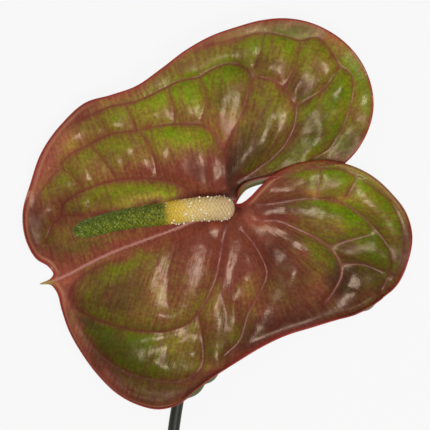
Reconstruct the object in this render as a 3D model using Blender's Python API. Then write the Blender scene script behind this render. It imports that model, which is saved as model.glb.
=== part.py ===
"""A cut anthurium laid on a flat surface, face up, as three grown pieces.

The lengths are in millimetres and become metres when a mesh is made. The bloom is drawn
round its heart, the point where stem, spathe and spadix meet, and then everything moves
so that the origin is the bottom centre of the whole flower's box. +X runs to the right of
the bloom, -Y down the stem, +Z up from the surface that the flower lies on.
"""
import math

import bpy
import numpy as np
from mathutils import Vector
from mathutils.geometry import delaunay_2d_cdt

for item in list(bpy.data.objects):
    bpy.data.objects.remove(item, do_unlink=True)

# Driving sizes
METRES = 0.001
HEART = (7.6, 128.9)          # where the heart lies from the origin
BLADE = 0.9                   # thickness of the spathe
HEART_BLADE = 2.0             # its thickness at the heart
HEART_REACH = 6.0             # how far from the heart the blade is thicker
STEEPEST = 0.6                # the underside is set down plumb, by at most 1 / this of it
SEAT_HEIGHT = 9.2             # the heart's flat underside, where the stem's top meets it
SEAT_RADIUS = 3.4
REST_SPOTS = [(-73.6, -8), (58.6, -33)]   # where the spathe's back lies on the surface
REST_RADIUS = 3.6
GAP = 0.3                     # air between pieces that touch

# The skin between the veins
SWELL = 6.0                   # how high it would blow up between far veins
SWELL_REACH = 4.8             # how far from a vein that takes
VEIN_GRIP = 3.0               # how hard a vein of firmness 1 holds it down
RIM_FIRMNESS = 0.4
SETTLE = 1.5                  # how far the veins lie below the stated heights
CALM = (3, 14)                # it starts to swell this far from the heart, and then does fully
FUNNEL_DEPTH = 2.6            # the dimple round the heart
FUNNEL_RADIUS = 8.0

# The step between the two lobes, right of the notch
LOBE_LIFT = 2.6               # each lobe's share of it
LOBE_LIFT_IN = (0, 9)         # where it begins and is full, along X
LOBE_LIFT_OUT = (50, 72)      # where it starts to fade and is gone
LOBE_LIFT_REACH = 13.0        # how far from the notch line it goes

# The mesh
LINE_STEP = 3.3               # spacing along rims and veins
SKIN_STEP = 3.3               # spacing between them
VEIN_END_ROOM = 0.55          # shares of a step within which a point joins its neighbour
VEIN_ROOM = 0.42
SKIN_ROOM = 0.62
RIM_STRIPS = 3
RIM_LEAST = 1.2               # a narrower rim isn't turned
RIM_ARC_STEPS = 25            # steps in which a rim's turning is added up
LEAN_SPREAD = 5               # stops over which the slope at a rim's foot is evened out
CURVE_STEPS = 10              # points between two given ones before a curve is spaced evenly

SPADIX_RADIUS = 4.55
FLORETS_AROUND = 14
FLORET_ROW = 1.12             # distance between two rings of florets
FLORET_RISE = 0.55
TIP_REACH = 1.25              # length of the rounded tip, in radii

STEM_TOP_RADIUS = 2.1
STEM_CUT_RADIUS = 3.0
STEM_SIDES = 12
NECK_STEP = 2.8
SHANK_STEP = 11.0

# Colour, roughness, and the angle in degrees above which an edge shows as sharp
SPATHE_FINISH = ((0.16, 0.17, 0.02), 0.25, 60)
SPADIX_FINISH = ((0.42, 0.40, 0.12), 0.5, 30)
STEM_FINISH = ((0.045, 0.05, 0.025), 0.45, 50)

# The rim, counter-clockwise from the notch beside the heart: x, y, the angle in degrees
# that the rim has turned up to at its edge, and how much of the blade does the turning.
UPPER_RIM = [
    (-0.5, 1.0, 20, 0.5), (1.6, 4.8, 170, 4.5), (4.6, 7.0, 200, 5.6), (8.2, 8.5, 190, 5),
    (12, 9.6, 140, 4), (16, 10.6, 60, 3.5), (20, 11.2, 10, 3.5), (26, 12.2, 0, 4), (34, 13.3, -10, 4),
    (40, 15, -20, 4), (46.7, 20.4, -10, 4), (52.2, 28.9, 10, 4), (55, 40, 20, 4), (54.5, 46.7, 25, 4),
    (50.3, 57.7, 25, 4), (42.7, 66.5, 20, 4), (30, 73.6, 15, 4), (20, 75.4, 10, 4),
    (10, 74.6, 10, 4), (0, 71.9, 15, 4), (-10, 68.4, 20, 4), (-20, 62.8, 20, 4),
    (-30, 55.3, 15, 4), (-40, 48.4, 5, 4), (-50, 44.9, -20, 4), (-60, 42, -35, 4),
    (-70, 33.3, -35, 4), (-78, 22, -25, 4), (-82.5, 9.7, 10, 4), (-85.7, -2.7, 50, 4.5),
    (-84, -14.4, 60, 4.5), (-80, -21.1, 50, 4), (-75.2, -24.2, 10, 2.5),
    (-73.4, -27.2, 0, 1), (-74.6, -28.9, 0, 0.5), (-78.7, -30.9, 0, 0.5),
]
LOWER_RIM = [
    (-78.7, -30.9, 0, 0.5), (-74.4, -31.2, 0, 0.5), (-72.2, -33.8, 30, 2.5),
    (-70, -41.1, 75, 4.5), (-66.7, -50.2, 90, 5), (-62.4, -57.8, 95, 5),
    (-55, -67.8, 100, 5), (-47.8, -74.7, 100, 5), (-40, -79, 95, 5), (-30, -81, 85, 5),
    (-23.8, -79.4, 90, 5), (-16.2, -74.2, 110, 5), (-8.2, -67.6, 95, 5),
    (0, -62.4, 60, 4.5), (10, -56.3, 45, 4), (20, -51.6, 35, 4), (30, -48.5, 35, 4),
    (40, -45.5, 60, 4), (48.5, -43.1, 100, 4.5), (57.6, -37.8, 90, 4.5),
    (65, -31.2, 60, 3.5), (69, -22.7, 10, 3), (70.8, -11.1, -25, 3), (68.2, -2, -50, 3),
    (62.3, 5.7, -60, 2.8), (55, 12.2, -60, 2.8), (45, 17, -60, 2.8), (35, 18.7, -55, 2.8),
    (25, 17.4, -40, 2.8), (15, 12.9, -30, 2.5), (10, 8.6, -20, 2.3), (5, 3.5, 0, 2),
    (2, 1.1, 10, 1), (-0.5, 1.0, 20, 0.5),
]

# The veins: how firmly each holds the skin down (1 is a deep main vein), then its points.
MIDRIB = [
    (-0.5, 1), (-5, -2.2), (-10, -4), (-17.3, -6), (-25, -9.1), (-36, -13.1),
    (-50, -18.4), (-60, -23.2), (-68.2, -27.5), (-73.5, -29.7), (-78.7, -30.9),
]
UPPER_VEINS = [
    (1.0, [(-9, 1.5), (-15, 4), (-22.4, 8.7), (-30, 11.1), (-40, 11.5), (-50, 10.4),
           (-60, 7.1), (-66, 4), (-69.6, 0.6), (-70.4, -3.5), (-74.4, -7.8),
           (-76, -13.2)]),
    (0.9, [(-5, 8), (-4.3, 15), (-4.9, 21.3), (-8.2, 28.2), (-14, 32.8), (-20, 33.2),
           (-30, 32.6), (-40, 30.6), (-50, 29.3), (-60, 24.4), (-66.7, 21.1),
           (-72.9, 13.6), (-78.7, 5.6), (-82, -1)]),
    (0.9, [(1, 10.5), (7.1, 14.4), (15, 19.9), (20.6, 26.7), (23.8, 37.3), (20.9, 44.9),
           (15, 50.4), (7, 52.3), (2.3, 56.2), (-2.4, 57.3), (-8.9, 55.3),
           (-14.7, 52), (-22.7, 50.2), (-30, 46.7), (-40, 42.2), (-50, 40.2),
           (-60, 35.9), (-70, 31.1)]),
    (0.8, [(-5, 22), (-1.3, 30), (2.7, 38.4), (5.2, 46), (7, 52.3)]),
    (0.7, [(30, 19), (36, 22.6), (41.3, 30), (45.3, 38.7), (46.9, 47.5), (45.6, 53.3),
           (41.6, 56.5), (37.6, 62.7), (32.5, 67.8), (25.6, 66.4), (20, 68),
           (10, 69.6), (0.9, 67.3), (-15, 63.6)]),
    (0.6, [(-50, -2.2), (-60, -3.1), (-70.4, -3.5)]),
    (0.5, [(-44, 40.9), (-41.3, 34.9), (-39.5, 30.8)]),
    (0.6, [(-39, 30.8), (-35.2, 25.3), (-32, 16.5), (-31, 11.3)]),
    (0.5, [(-58.5, 25.2), (-52.2, 17.7), (-47.6, 10.8)]),
    (0.5, [(-71, 16.2), (-65, 11.8), (-60.5, 6.9)]),
    (0.4, [(-57, 37.7), (-52.5, 32.2), (-51, 29)]),
    (0.5, [(-14.4, 52.1), (-12, 42.4), (-14.6, 33)]),
    (0.5, [(-27, 48.4), (-25.3, 41.3), (-24.3, 33)]),
    (0.6, [(25.6, 66.4), (24, 57.7), (19, 47.2)]),
    (0.6, [(41.6, 56.5), (35.8, 47.9), (30, 43.5), (23.2, 39.8)]),
    (0.06, [(20.9, 44.9), (13, 42), (8.8, 32.5), (6.5, 24), (2, 15), (-1.5, 9.5)]),
    (0.35, [(6, 53), (10, 62.5), (11.5, 69.5)]),
]
LOWER_VEINS = [
    (1.0, [(-4, -8), (-6, -19.8), (-8.4, -30), (-12.5, -38.5), (-18.7, -46.2),
           (-27.1, -49.5), (-40, -49.3), (-50, -47.2), (-60, -43.2), (-64.5, -40.5)]),
    (0.8, [(-14.8, -42), (-13.1, -55.2), (-14, -64.7), (-20.6, -69.6), (-30, -69.8),
           (-39.1, -68), (-50.7, -62.1), (-57.6, -55.3), (-60.9, -50.9)]),
    (0.9, [(2.7, -9.2), (8.9, -17.6), (12.5, -26.7), (8.9, -35.2), (4.7, -43.2),
           (1.2, -53.8), (-5.3, -60)]),
    (0.9, [(8, -5.4), (17, -5.6), (25, -9.1), (35, -14.4), (41.6, -22), (42.4, -26),
           (39.4, -33.4), (35, -39)]),
    (0.9, [(9, 0.6), (20, 2.4), (30, 3.5), (40, 2.6), (50, -3), (57.6, -10.7),
           (62.5, -20.1), (60.9, -28.5), (58, -34)]),
    (0.7, [(16, 10.4), (24, 14), (33, 15.4), (44, 14.4), (52, 10), (62, 2), (67.2, -10),
           (66.5, -22), (63, -28.5)]),
    (0.12, [(12.4, -28), (19.4, -34.9), (22.7, -41.8), (17, -47.2)]),
    (0.08, [(-5, -33), (-0.2, -43.2), (-3, -55)]),
    (0.5, [(37, -15.9), (45.3, -13.3), (54, -11)]),
    (0.5, [(42.2, -23), (51, -23), (59, -26)]),
    (0.5, [(32.2, 3.5), (32.9, 8.6), (33.6, 14.5)]),
    (0.5, [(42.5, 1.9), (46, 7.8), (48.4, 12)]),
    (0.5, [(-46, -20.4), (-55, -23.4), (-62.4, -28.2), (-67, -34), (-64, -44),
           (-60.9, -50.9)]),
]

# Heights of the veins' level over the surface below: x, y, height.
STATIONS = [
    (0, 0, 15.5), (-20, -7, 16), (-40, -14.4, 13), (-56, -21, 8.5), (-68, -26, 4.6),
    (-79, -31, 2.5), (-72, -10, 1.7), (-84, -6, 2.8), (-81, 10, 5.5), (-70, 33, 9.5),
    (-60, 14, 9), (-45, 27, 13.5), (-60, 41, 11.5), (-40, 47, 14), (-20, 62, 15.5),
    (-20, 33, 16.5), (0, 71, 16.5), (20, 75, 16), (20, 45, 17.5), (40, 67, 15),
    (54, 45, 13.5), (45, 20, 13.5), (-15, -35, 14.5), (-42, -36, 10.5), (-66, -45, 6),
    (-52, -64, 8.5), (-30, -79, 10), (-28, -58, 10.5), (-6, -65, 11), (10, -54, 10),
    (28, -46, 7.5), (42, -42, 4.6), (53, -33, 2.3), (64, -24, 4.5), (70, -11, 7.5),
    (62, 4, 10.5), (45, 15, 14), (28, 5, 15.5), (45, -10, 9.5), (22, -22, 12.5),
]
NOTCH_LINE = [(0, 1), (10, 9), (20, 13), (34, 16), (46, 18), (70, 22)]

# The spadix's middle line from its base to its tip, and its radius along the way.
SPADIX_LINE = [
    (-0.2, -0.3, 15.65), (-4.6, -0.5, 18.45), (-10, -0.55, 21.45), (-20, -1.5, 26.05),
    (-30, -2.9, 29.85), (-40, -4.25, 32.85), (-50, -6.1, 35.25), (-60, -8.9, 37.25),
    (-64.6, -10.1, 38.05),
]
SPADIX_GIRTH = [(0, 1.0), (0.3, 0.975), (0.55, 0.88), (0.8, 0.78), (1, 0.72)]

# The stem's middle line: the neck that bends down from the heart, as x, y, height, and
# then the shank that lies on the surface, as x, y.
NECK_LINE = [
    (-0.3, -0.3, 8.9), (-0.9, -2.2, 6.8), (-1.9, -5, 4.8), (-3.4, -9.2, 3.3),
    (-5.6, -16, 2.35), (-8.6, -25, 2.04),
]
SHANK_LINE = [
    (-8.6, -25), (-15.2, -45), (-20.2, -63), (-23.6, -80), (-27, -105), (-33, -150),
    (-40, -210), (-45, -270), (-47.5, -333),
]


def smooth_line(points, step):
    """Points about a step apart on a smooth curve through the given ones."""
    knots = np.array(points, float)
    chord = np.linalg.norm(np.diff(knots[:, :2], axis=0), axis=1)
    slope = np.diff(knots, axis=0) / chord[:, None]
    before, after = chord[:-1, None], chord[1:, None]
    inner = (slope[:-1] * after + slope[1:] * before) / (before + after)
    tangent = np.vstack([slope[:1], inner, slope[-1:]])
    fine = []
    for i, length in enumerate(chord):
        t = np.linspace(0, 1, CURVE_STEPS, endpoint=False)[:, None]
        fine.append(
            knots[i] * (2 * t**3 - 3 * t**2 + 1)
            + knots[i + 1] * (3 * t**2 - 2 * t**3)
            + tangent[i] * length * (t**3 - 2 * t**2 + t)
            + tangent[i + 1] * length * (t**3 - t**2)
        )
    fine = np.vstack(fine + [knots[-1:]])
    walked = np.concatenate(
        [[0], np.cumsum(np.linalg.norm(np.diff(fine[:, :2], axis=0), axis=1))]
    )
    count = max(2, int(round(walked[-1] / step)) + 1)
    stops = np.linspace(0, walked[-1], count)
    return np.column_stack([np.interp(stops, walked, column) for column in fine.T])


def along(table, where):
    """The value of a two-column table, read between its rows."""
    rows = np.array(table, float)
    return np.interp(where, rows[:, 0], rows[:, 1])


def smooth_step(low, high, value):
    """0 below low, 1 above high and a soft climb between."""
    t = np.clip((np.asarray(value, float) - low) / (high - low), 0, 1)
    return t * t * (3 - 2 * t)


class Ground:
    """The smoothest sheet through the height stations."""

    def __init__(self, stations):
        rows = np.array(stations, float)
        self.at = rows[:, :2]
        count = len(rows)
        system = np.zeros((count + 3, count + 3))
        system[:count, :count] = self.bend(self.at)
        system[:count, count:] = np.column_stack([np.ones(count), self.at])
        system[count:, :count] = system[:count, count:].T
        self.weights = np.linalg.solve(system, np.concatenate([rows[:, 2], [0, 0, 0]]))

    def bend(self, places):
        apart = np.linalg.norm(places[:, None, :] - self.at[None, :, :], axis=2)
        return apart**2 * np.log(apart + 1e-9)

    def height(self, places):
        flat = np.column_stack([np.ones(len(places)), places])
        return self.bend(places) @ self.weights[:-3] + flat @ self.weights[-3:]


class Skin:
    """How far the skin swells up between the veins that hold it down."""

    LOW = (-92.0, -88.0)
    HIGH = (77.0, 82.0)
    CELL = 1.0
    GRIP_WIDTH = 0.9
    ROUNDS = 260

    def __init__(self, veins):
        self.shape = [int((b - a) / self.CELL) + 1 for a, b in zip(self.LOW, self.HIGH)]
        grip = np.zeros(self.shape)
        for firmness, line in veins:
            for x, y in smooth_line(line, self.CELL / 2)[:, :2]:
                self.press(grip, x, y, firmness)
        hold = 1 / SWELL_REACH**2 + VEIN_GRIP * grip
        push = SWELL / SWELL_REACH**2
        level = np.zeros(self.shape)
        area = self.CELL**2
        for _ in range(self.ROUNDS):
            around = np.zeros(self.shape)
            around[1:, :] += level[:-1, :]
            around[:-1, :] += level[1:, :]
            around[:, 1:] += level[:, :-1]
            around[:, :-1] += level[:, 1:]
            level = (around + area * push) / (4 + area * hold)
        self.level = level

    def press(self, grip, x, y, firmness):
        """Hold the skin down round one point of a vein."""
        i = int((x - self.LOW[0]) / self.CELL)
        j = int((y - self.LOW[1]) / self.CELL)
        rows = np.arange(max(i - 3, 0), min(i + 5, self.shape[0]))
        columns = np.arange(max(j - 3, 0), min(j + 5, self.shape[1]))
        dx = self.LOW[0] + rows * self.CELL - x
        dy = self.LOW[1] + columns * self.CELL - y
        away = dx[:, None] ** 2 + dy[None, :] ** 2
        window = np.ix_(rows, columns)
        held = firmness * np.exp(-away / self.GRIP_WIDTH**2)
        grip[window] = np.maximum(grip[window], held)

    def height(self, places):
        u = (places[:, 0] - self.LOW[0]) / self.CELL
        v = (places[:, 1] - self.LOW[1]) / self.CELL
        i = np.clip(u.astype(int), 0, self.shape[0] - 2)
        j = np.clip(v.astype(int), 0, self.shape[1] - 2)
        a, b = u - i, v - j
        level = self.level
        return (
            level[i, j] * (1 - a) * (1 - b)
            + level[i + 1, j] * a * (1 - b)
            + level[i, j + 1] * (1 - a) * b
            + level[i + 1, j + 1] * a * b
        )


class Half:
    """One side of the midrib: its rim, its veins and its height at any place."""

    def __init__(self, rim, veins, side):
        self.rim = rim
        self.side = side
        edge = [(x, y) for x, y, _, _ in rim]
        self.veins = veins
        self.skin = Skin([(1.0, MIDRIB), (RIM_FIRMNESS, edge)] + veins)

    def height(self, places):
        """Height of the upper face over the surface that the flower lies on."""
        places = np.asarray(places, float)
        from_heart = np.linalg.norm(places, axis=1)
        funnel = -FUNNEL_DEPTH * np.exp(-((from_heart / FUNNEL_RADIUS) ** 2))
        x, y = places[:, 0], places[:, 1]
        past_notch = smooth_step(*LOBE_LIFT_IN, x) * (1 - smooth_step(*LOBE_LIFT_OUT, x))
        near_notch = np.exp(-(((y - along(NOTCH_LINE, x)) / LOBE_LIFT_REACH) ** 2))
        step = self.side * LOBE_LIFT * past_notch * near_notch
        swell = self.skin.height(places) * smooth_step(*CALM, from_heart)
        return ground.height(places) + funnel + step + swell - SETTLE

    def slope(self, places, outward):
        """Climb of the upper face towards the rim, as an angle."""
        rise = self.height(places + outward) - self.height(places - outward)
        return np.arctan2(rise, 2)


class SheetMesh:
    """The upper face of the spathe while it grows, point by point."""

    def __init__(self):
        self.points = []
        self.faces = []

    def add(self, point):
        self.points.append(tuple(float(v) for v in point))
        return len(self.points) - 1


def rim_strip(half, sheet, ends):
    """The turned rim: a row of points for each stop along it, from its foot to its edge."""
    stops = smooth_line(half.rim, LINE_STEP)
    ahead = np.gradient(stops[:, :2], axis=0)
    ahead /= np.linalg.norm(ahead, axis=1)[:, None]
    outward = np.column_stack([ahead[:, 1], -ahead[:, 0]])
    width = stops[:, 3]
    lean = half.slope(stops[:, :2] - outward * width[:, None], outward)
    lean = np.pad(lean, LEAN_SPREAD // 2, "edge")
    lean = np.convolve(lean, np.ones(LEAN_SPREAD) / LEAN_SPREAD, "valid")
    turned = np.radians(stops[:, 2])
    share = np.linspace(0, 1, RIM_STRIPS + 1)
    fine = np.linspace(0, 1, RIM_ARC_STEPS + 1)
    rows = []
    for i in range(len(stops)):
        angle = lean[i] + (turned[i] - lean[i]) * fine
        stride = width[i] / RIM_ARC_STEPS
        out = np.concatenate([[0], np.cumsum(np.cos(angle[1:]) * stride)])
        up = np.concatenate([[0], np.cumsum(np.sin(angle[1:]) * stride)])
        furthest = np.maximum(out, out + BLADE * np.sin(angle)).max()
        foot = stops[i, :2] - outward[i] * furthest
        if i in (0, len(stops) - 1):
            rows.append([ends[0] if i == 0 else ends[1]] * (RIM_STRIPS + 1))
            continue
        if width[i] < RIM_LEAST:
            corner = (*stops[i, :2], half.height(stops[i : i + 1, :2])[0])
            rows.append([sheet.add(corner)] * (RIM_STRIPS + 1))
            continue
        base = half.height(foot[None, :])[0]
        row = []
        for part in share:
            place = foot + outward[i] * np.interp(part, fine, out)
            row.append(sheet.add((*place, base + np.interp(part, fine, up))))
        rows.append(row)
    return rows


def join_strip(sheet, rows):
    """Skin between neighbouring rows of the turned rim."""
    for near, far in zip(rows, rows[1:]):
        for k in range(RIM_STRIPS):
            loop = [near[k], near[k + 1], far[k + 1], far[k]]
            corners = [c for n, c in enumerate(loop) if c not in loop[:n]]
            for n in range(1, len(corners) - 1):
                sheet.faces.append((corners[0], corners[n], corners[n + 1]))


def fill_half(half, sheet, rows, midrib):
    """Triangles from the rim's foot to the midrib, with an edge along every vein."""
    border = [row[0] for row in rows] + midrib
    places = [sheet.points[index][:2] for index in border]
    known = list(border)
    taken = [np.array(p) for p in places]
    lines = []

    def nearest(place):
        away = np.linalg.norm(np.array(taken) - place, axis=1)
        return int(away.argmin()), float(away.min())

    def keep(place):
        taken.append(np.array(place))
        known.append(None)
        return len(taken) - 1

    for _, line in half.veins:
        stops = smooth_line(line, LINE_STEP)[:, :2]
        chain = []
        for n, stop in enumerate(stops):
            index, away = nearest(stop)
            end = n in (0, len(stops) - 1)
            if away < LINE_STEP * (VEIN_END_ROOM if end else VEIN_ROOM):
                if index not in chain:
                    chain.append(index)
            elif inside(stop, places):
                chain.append(keep(stop))
        lines += list(zip(chain, chain[1:]))
    fixed = np.array(taken)
    low, high = fixed.min(axis=0), fixed.max(axis=0)
    row_gap = SKIN_STEP * math.sqrt(3) / 2
    for row, y in enumerate(np.arange(low[1], high[1], row_gap)):
        for x in np.arange(low[0] + (row % 2) * SKIN_STEP / 2, high[0], SKIN_STEP):
            away = np.linalg.norm(fixed - (x, y), axis=1).min()
            if away > SKIN_STEP * SKIN_ROOM and inside((x, y), places):
                keep((x, y))
    points, _, faces, origin, _, _ = delaunay_2d_cdt(
        [Vector(p) for p in taken], lines, [list(range(len(border)))], 1, 1e-4
    )
    index = []
    for place, came_from in zip(points, origin):
        owner = [known[c] for c in came_from if known[c] is not None]
        if owner:
            index.append(owner[0])
        else:
            rise = half.height(np.array([place[:]]))[0]
            index.append(sheet.add((place[0], place[1], rise)))
    for face in faces:
        a, b, c = (index[v] for v in face)
        sheet.faces.append((a, b, c) if turns_left(sheet, a, b, c) else (a, c, b))


def inside(place, loop):
    """Whether a place lies inside a closed loop of points."""
    x, y = place
    hit = False
    for (ax, ay), (bx, by) in zip(loop, loop[1:] + loop[:1]):
        if (ay > y) != (by > y) and x < ax + (y - ay) / (by - ay) * (bx - ax):
            hit = not hit
    return hit


def turns_left(sheet, a, b, c):
    (ax, ay, _), (bx, by, _), (cx, cy, _) = (sheet.points[i] for i in (a, b, c))
    return (bx - ax) * (cy - ay) - (by - ay) * (cx - ax) > 0


def finish(name, points, faces, looks):
    """An object at the origin from points in millimetres, with its own material."""
    colour, roughness, smooth_angle = looks
    shift = np.array([HEART[0], HEART[1], 0])
    mesh = bpy.data.meshes.new(name)
    mesh.from_pydata(((np.array(points) + shift) * METRES).tolist(), [], faces)
    mesh.validate()
    mesh.shade_smooth()
    mesh.set_sharp_from_angle(angle=math.radians(smooth_angle))
    material = bpy.data.materials.new(name)
    material.use_nodes = True
    shader = material.node_tree.nodes["Principled BSDF"]
    shader.inputs["Base Color"].default_value = (*colour, 1)
    shader.inputs["Roughness"].default_value = roughness
    shader.inputs["Metallic"].default_value = 0
    mesh.materials.append(material)
    piece = bpy.data.objects.new(name, mesh)
    bpy.context.scene.collection.objects.link(piece)
    return piece


def face_normals(points, faces):
    """Normals at the points of a sheet, each face weighing by its area."""
    corner = points[faces]
    across = np.cross(corner[:, 1] - corner[:, 0], corner[:, 2] - corner[:, 0])
    normal = np.zeros_like(points)
    for k in range(3):
        np.add.at(normal, faces[:, k], across)
    return normal / np.linalg.norm(normal, axis=1)[:, None]


def make_spathe():
    """The heart-shaped blade: upper face, lower face and the edge between them."""
    sheet = SheetMesh()
    line = smooth_line(MIDRIB, LINE_STEP)
    rise = (upper.height(line) + lower.height(line)) / 2
    midrib = [sheet.add((x, y, z)) for (x, y), z in zip(line, rise)]
    notch, cusp = midrib[0], midrib[-1]
    upper_rows = rim_strip(upper, sheet, (notch, cusp))
    lower_rows = rim_strip(lower, sheet, (cusp, notch))
    fill_half(upper, sheet, upper_rows, midrib[-2:0:-1])
    fill_half(lower, sheet, lower_rows, midrib[1:-1])
    join_strip(sheet, upper_rows)
    join_strip(sheet, lower_rows)

    top = np.array(sheet.points)
    faces = np.array(sheet.faces)
    from_heart = np.linalg.norm(top[:, :2], axis=1)
    normal = face_normals(top, faces)
    turned = np.zeros(len(top))
    for row in upper_rows + lower_rows:
        turned[row[1:]] = 1
        turned[row[0]] = 0.5
    turned[[notch, cusp]] = 0
    thickened = np.exp(-((from_heart / HEART_REACH) ** 2)) * (1 - turned)
    thick = BLADE + (HEART_BLADE - BLADE) * thickened
    downward = normal * turned[:, None]
    downward[:, 2] += (1 - turned) / np.maximum(normal[:, 2], STEEPEST)
    under = top - downward * thick[:, None]
    seat = from_heart < SEAT_RADIUS
    under[seat, 2] = SEAT_HEIGHT
    for spot in REST_SPOTS:
        under[np.linalg.norm(under[:, :2] - spot, axis=1) < REST_RADIUS, 2] = 0
    under[:, 2] = np.maximum(under[:, 2], 0)

    count = len(top)
    edge = [row[-1] for row in upper_rows] + [row[-1] for row in lower_rows[1:-1]]
    walls = []
    for a, b in zip(edge, edge[1:] + edge[:1]):
        walls += [(a, a + count, b + count), (a, b + count, b)]
    both = [tuple(f) for f in faces.tolist()]
    both += [(a + count, c + count, b + count) for a, b, c in both]
    return finish("spathe", np.vstack([top, under]), both + walls, SPATHE_FINISH)


def rings(line, radius, sides):
    """Rings square to a line in space, one at each of its points."""
    line = np.array(line, float)
    ahead = np.gradient(line, axis=0)
    ahead /= np.linalg.norm(ahead, axis=1)[:, None]
    side = np.cross(ahead, (0, 0, 1))
    side /= np.linalg.norm(side, axis=1)[:, None]
    upward = np.cross(side, ahead)
    for n in range(len(line)):
        angle = (np.arange(sides[n][0]) + sides[n][1]) * 2 * math.pi / sides[n][0]
        yield (
            line[n]
            + radius[n] * np.cos(angle)[:, None] * side[n]
            + radius[n] * np.sin(angle)[:, None] * upward[n]
        )


def make_spadix():
    """The spike, covered in staggered four-sided florets that each rise to a point."""
    line = smooth_line(SPADIX_LINE, FLORET_ROW)
    walked = np.concatenate([[0], np.cumsum(np.linalg.norm(np.diff(line, axis=0), axis=1))])
    total = walked[-1]
    girth = SPADIX_RADIUS * along(SPADIX_GIRTH, walked / total)
    base_end = np.clip(walked / SPADIX_RADIUS, 0, 1)
    tip_end = np.clip((total - walked) / (TIP_REACH * girth[-1]), 0, 1)
    round_off = np.sqrt(1 - (1 - base_end) ** 2) * np.sqrt(1 - (1 - tip_end) ** 2)
    radius = girth * round_off
    inner = slice(1, len(line) - 1)
    spine, reach = line[inner], radius[inner]
    count = len(spine)
    valley = list(rings(spine, reach, [(FLORETS_AROUND, n % 2 / 2) for n in range(count)]))
    proud = reach + FLORET_RISE * np.minimum(1, reach / SPADIX_RADIUS)
    crown = list(
        rings(spine, proud, [(FLORETS_AROUND, (n + 1) % 2 / 2) for n in range(count)])
    )
    points = np.vstack(valley + crown + [line[:1], line[-1:]])
    base, tip = len(points) - 2, len(points) - 1
    first_crown = count * FLORETS_AROUND

    def low(n, k):
        return n * FLORETS_AROUND + k % FLORETS_AROUND

    faces = []
    for n in range(1, count - 1):
        shift = n % 2
        for k in range(FLORETS_AROUND):
            before, after = low(n - 1, k + shift), low(n + 1, k + shift)
            left, right = low(n, k), low(n, k + 1)
            peak = first_crown + n * FLORETS_AROUND + (k + shift) % FLORETS_AROUND
            for a, b in ((before, left), (left, after), (after, right), (right, before)):
                faces.append((a, b, peak))
    for n, cap, flip in ((0, base, False), (count - 1, tip, True)):
        beside = 1 if n == 0 else count - 2
        for k in range(FLORETS_AROUND):
            here, beyond = low(n, k), low(n, k + 1)
            pair = [(beyond, here, low(beside, k + n % 2)), (here, beyond, cap)]
            faces += [(b, a, c) if flip else (a, b, c) for a, b, c in pair]
    used = sorted({v for face in faces for v in face})
    number = {v: i for i, v in enumerate(used)}
    faces = [tuple(number[v] for v in face) for face in faces]
    return finish("spadix", points[used], faces, SPADIX_FINISH)


def make_peduncle():
    """The stem: cut flat under the heart's seat at its top, cut square at its foot."""
    neck = smooth_line(NECK_LINE, NECK_STEP)
    shank = smooth_line(SHANK_LINE, SHANK_STEP)[1:]
    plan = np.vstack([neck[:, :2], shank])
    walked = np.concatenate(
        [[0], np.cumsum(np.linalg.norm(np.diff(plan, axis=0), axis=1))]
    )
    widening = STEM_CUT_RADIUS - STEM_TOP_RADIUS
    radius = STEM_TOP_RADIUS + widening * walked / walked[-1]
    lying = radius * math.cos(math.pi / STEM_SIDES)
    height = lying.copy()
    height[: len(neck)] = np.maximum(neck[:, 2], lying[: len(neck)])
    line = np.column_stack([plan, height])
    loops = list(rings(line, radius, [(STEM_SIDES, 0.5)] * len(line)))
    loops[0][:, 2] = SEAT_HEIGHT - GAP
    points = np.vstack(loops)
    faces = []
    for n in range(len(loops) - 1):
        for k in range(STEM_SIDES):
            a, b = n * STEM_SIDES + k, n * STEM_SIDES + (k + 1) % STEM_SIDES
            faces.append((a, a + STEM_SIDES, b + STEM_SIDES, b))
    faces.append(tuple(range(STEM_SIDES)))
    last = (len(loops) - 1) * STEM_SIDES
    faces.append(tuple(range(last + STEM_SIDES - 1, last - 1, -1)))
    return finish("peduncle", points, faces, STEM_FINISH)


ground = Ground(STATIONS)
upper = Half(UPPER_RIM, UPPER_VEINS, -1)
lower = Half(LOWER_RIM, LOWER_VEINS, 1)
make_spathe()
make_spadix()
make_peduncle()
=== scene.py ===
# %% [markdown]
# # A cut anthurium, laid face up
#
# An anthurium bloom is a waxy, heart-shaped leaf (the spathe) with a spike of tiny florets
# (the spadix) standing on it, carried by a long smooth stem (the peduncle). The solid model
# gives the size and the place of all three. This script dresses them: the spathe gets its
# blistered skin, cord-like veins and rolled rim, the spadix its florets, and the stem its
# fine ridges. The bloom is drawn in millimetres round its heart, the point where the three
# pieces meet, and moved into the frame at the end of each step.

# %% Load the frame
import math

import bmesh
import bpy
import numpy as np
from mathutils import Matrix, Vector, noise
from mathutils.geometry import delaunay_2d_cdt
from mathutils.kdtree import KDTree


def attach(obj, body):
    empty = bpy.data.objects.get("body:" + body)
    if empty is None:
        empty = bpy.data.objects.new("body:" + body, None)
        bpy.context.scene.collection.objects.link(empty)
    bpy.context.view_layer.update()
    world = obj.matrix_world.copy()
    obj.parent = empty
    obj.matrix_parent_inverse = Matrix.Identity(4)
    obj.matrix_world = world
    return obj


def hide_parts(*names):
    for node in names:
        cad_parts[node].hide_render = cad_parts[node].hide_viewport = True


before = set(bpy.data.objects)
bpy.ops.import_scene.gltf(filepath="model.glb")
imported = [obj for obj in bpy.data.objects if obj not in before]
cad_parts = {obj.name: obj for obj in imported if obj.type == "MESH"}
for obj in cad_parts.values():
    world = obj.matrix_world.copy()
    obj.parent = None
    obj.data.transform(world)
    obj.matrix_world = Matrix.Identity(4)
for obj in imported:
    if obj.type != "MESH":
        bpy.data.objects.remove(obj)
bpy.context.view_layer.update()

# %% Shared sizes, in millimetres round the heart
METRES = 0.001
HEART = np.array([7.6, 128.9, 0.0])  # where the heart lies in the frame
BLADE = 0.9  # thickness of the spathe
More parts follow.
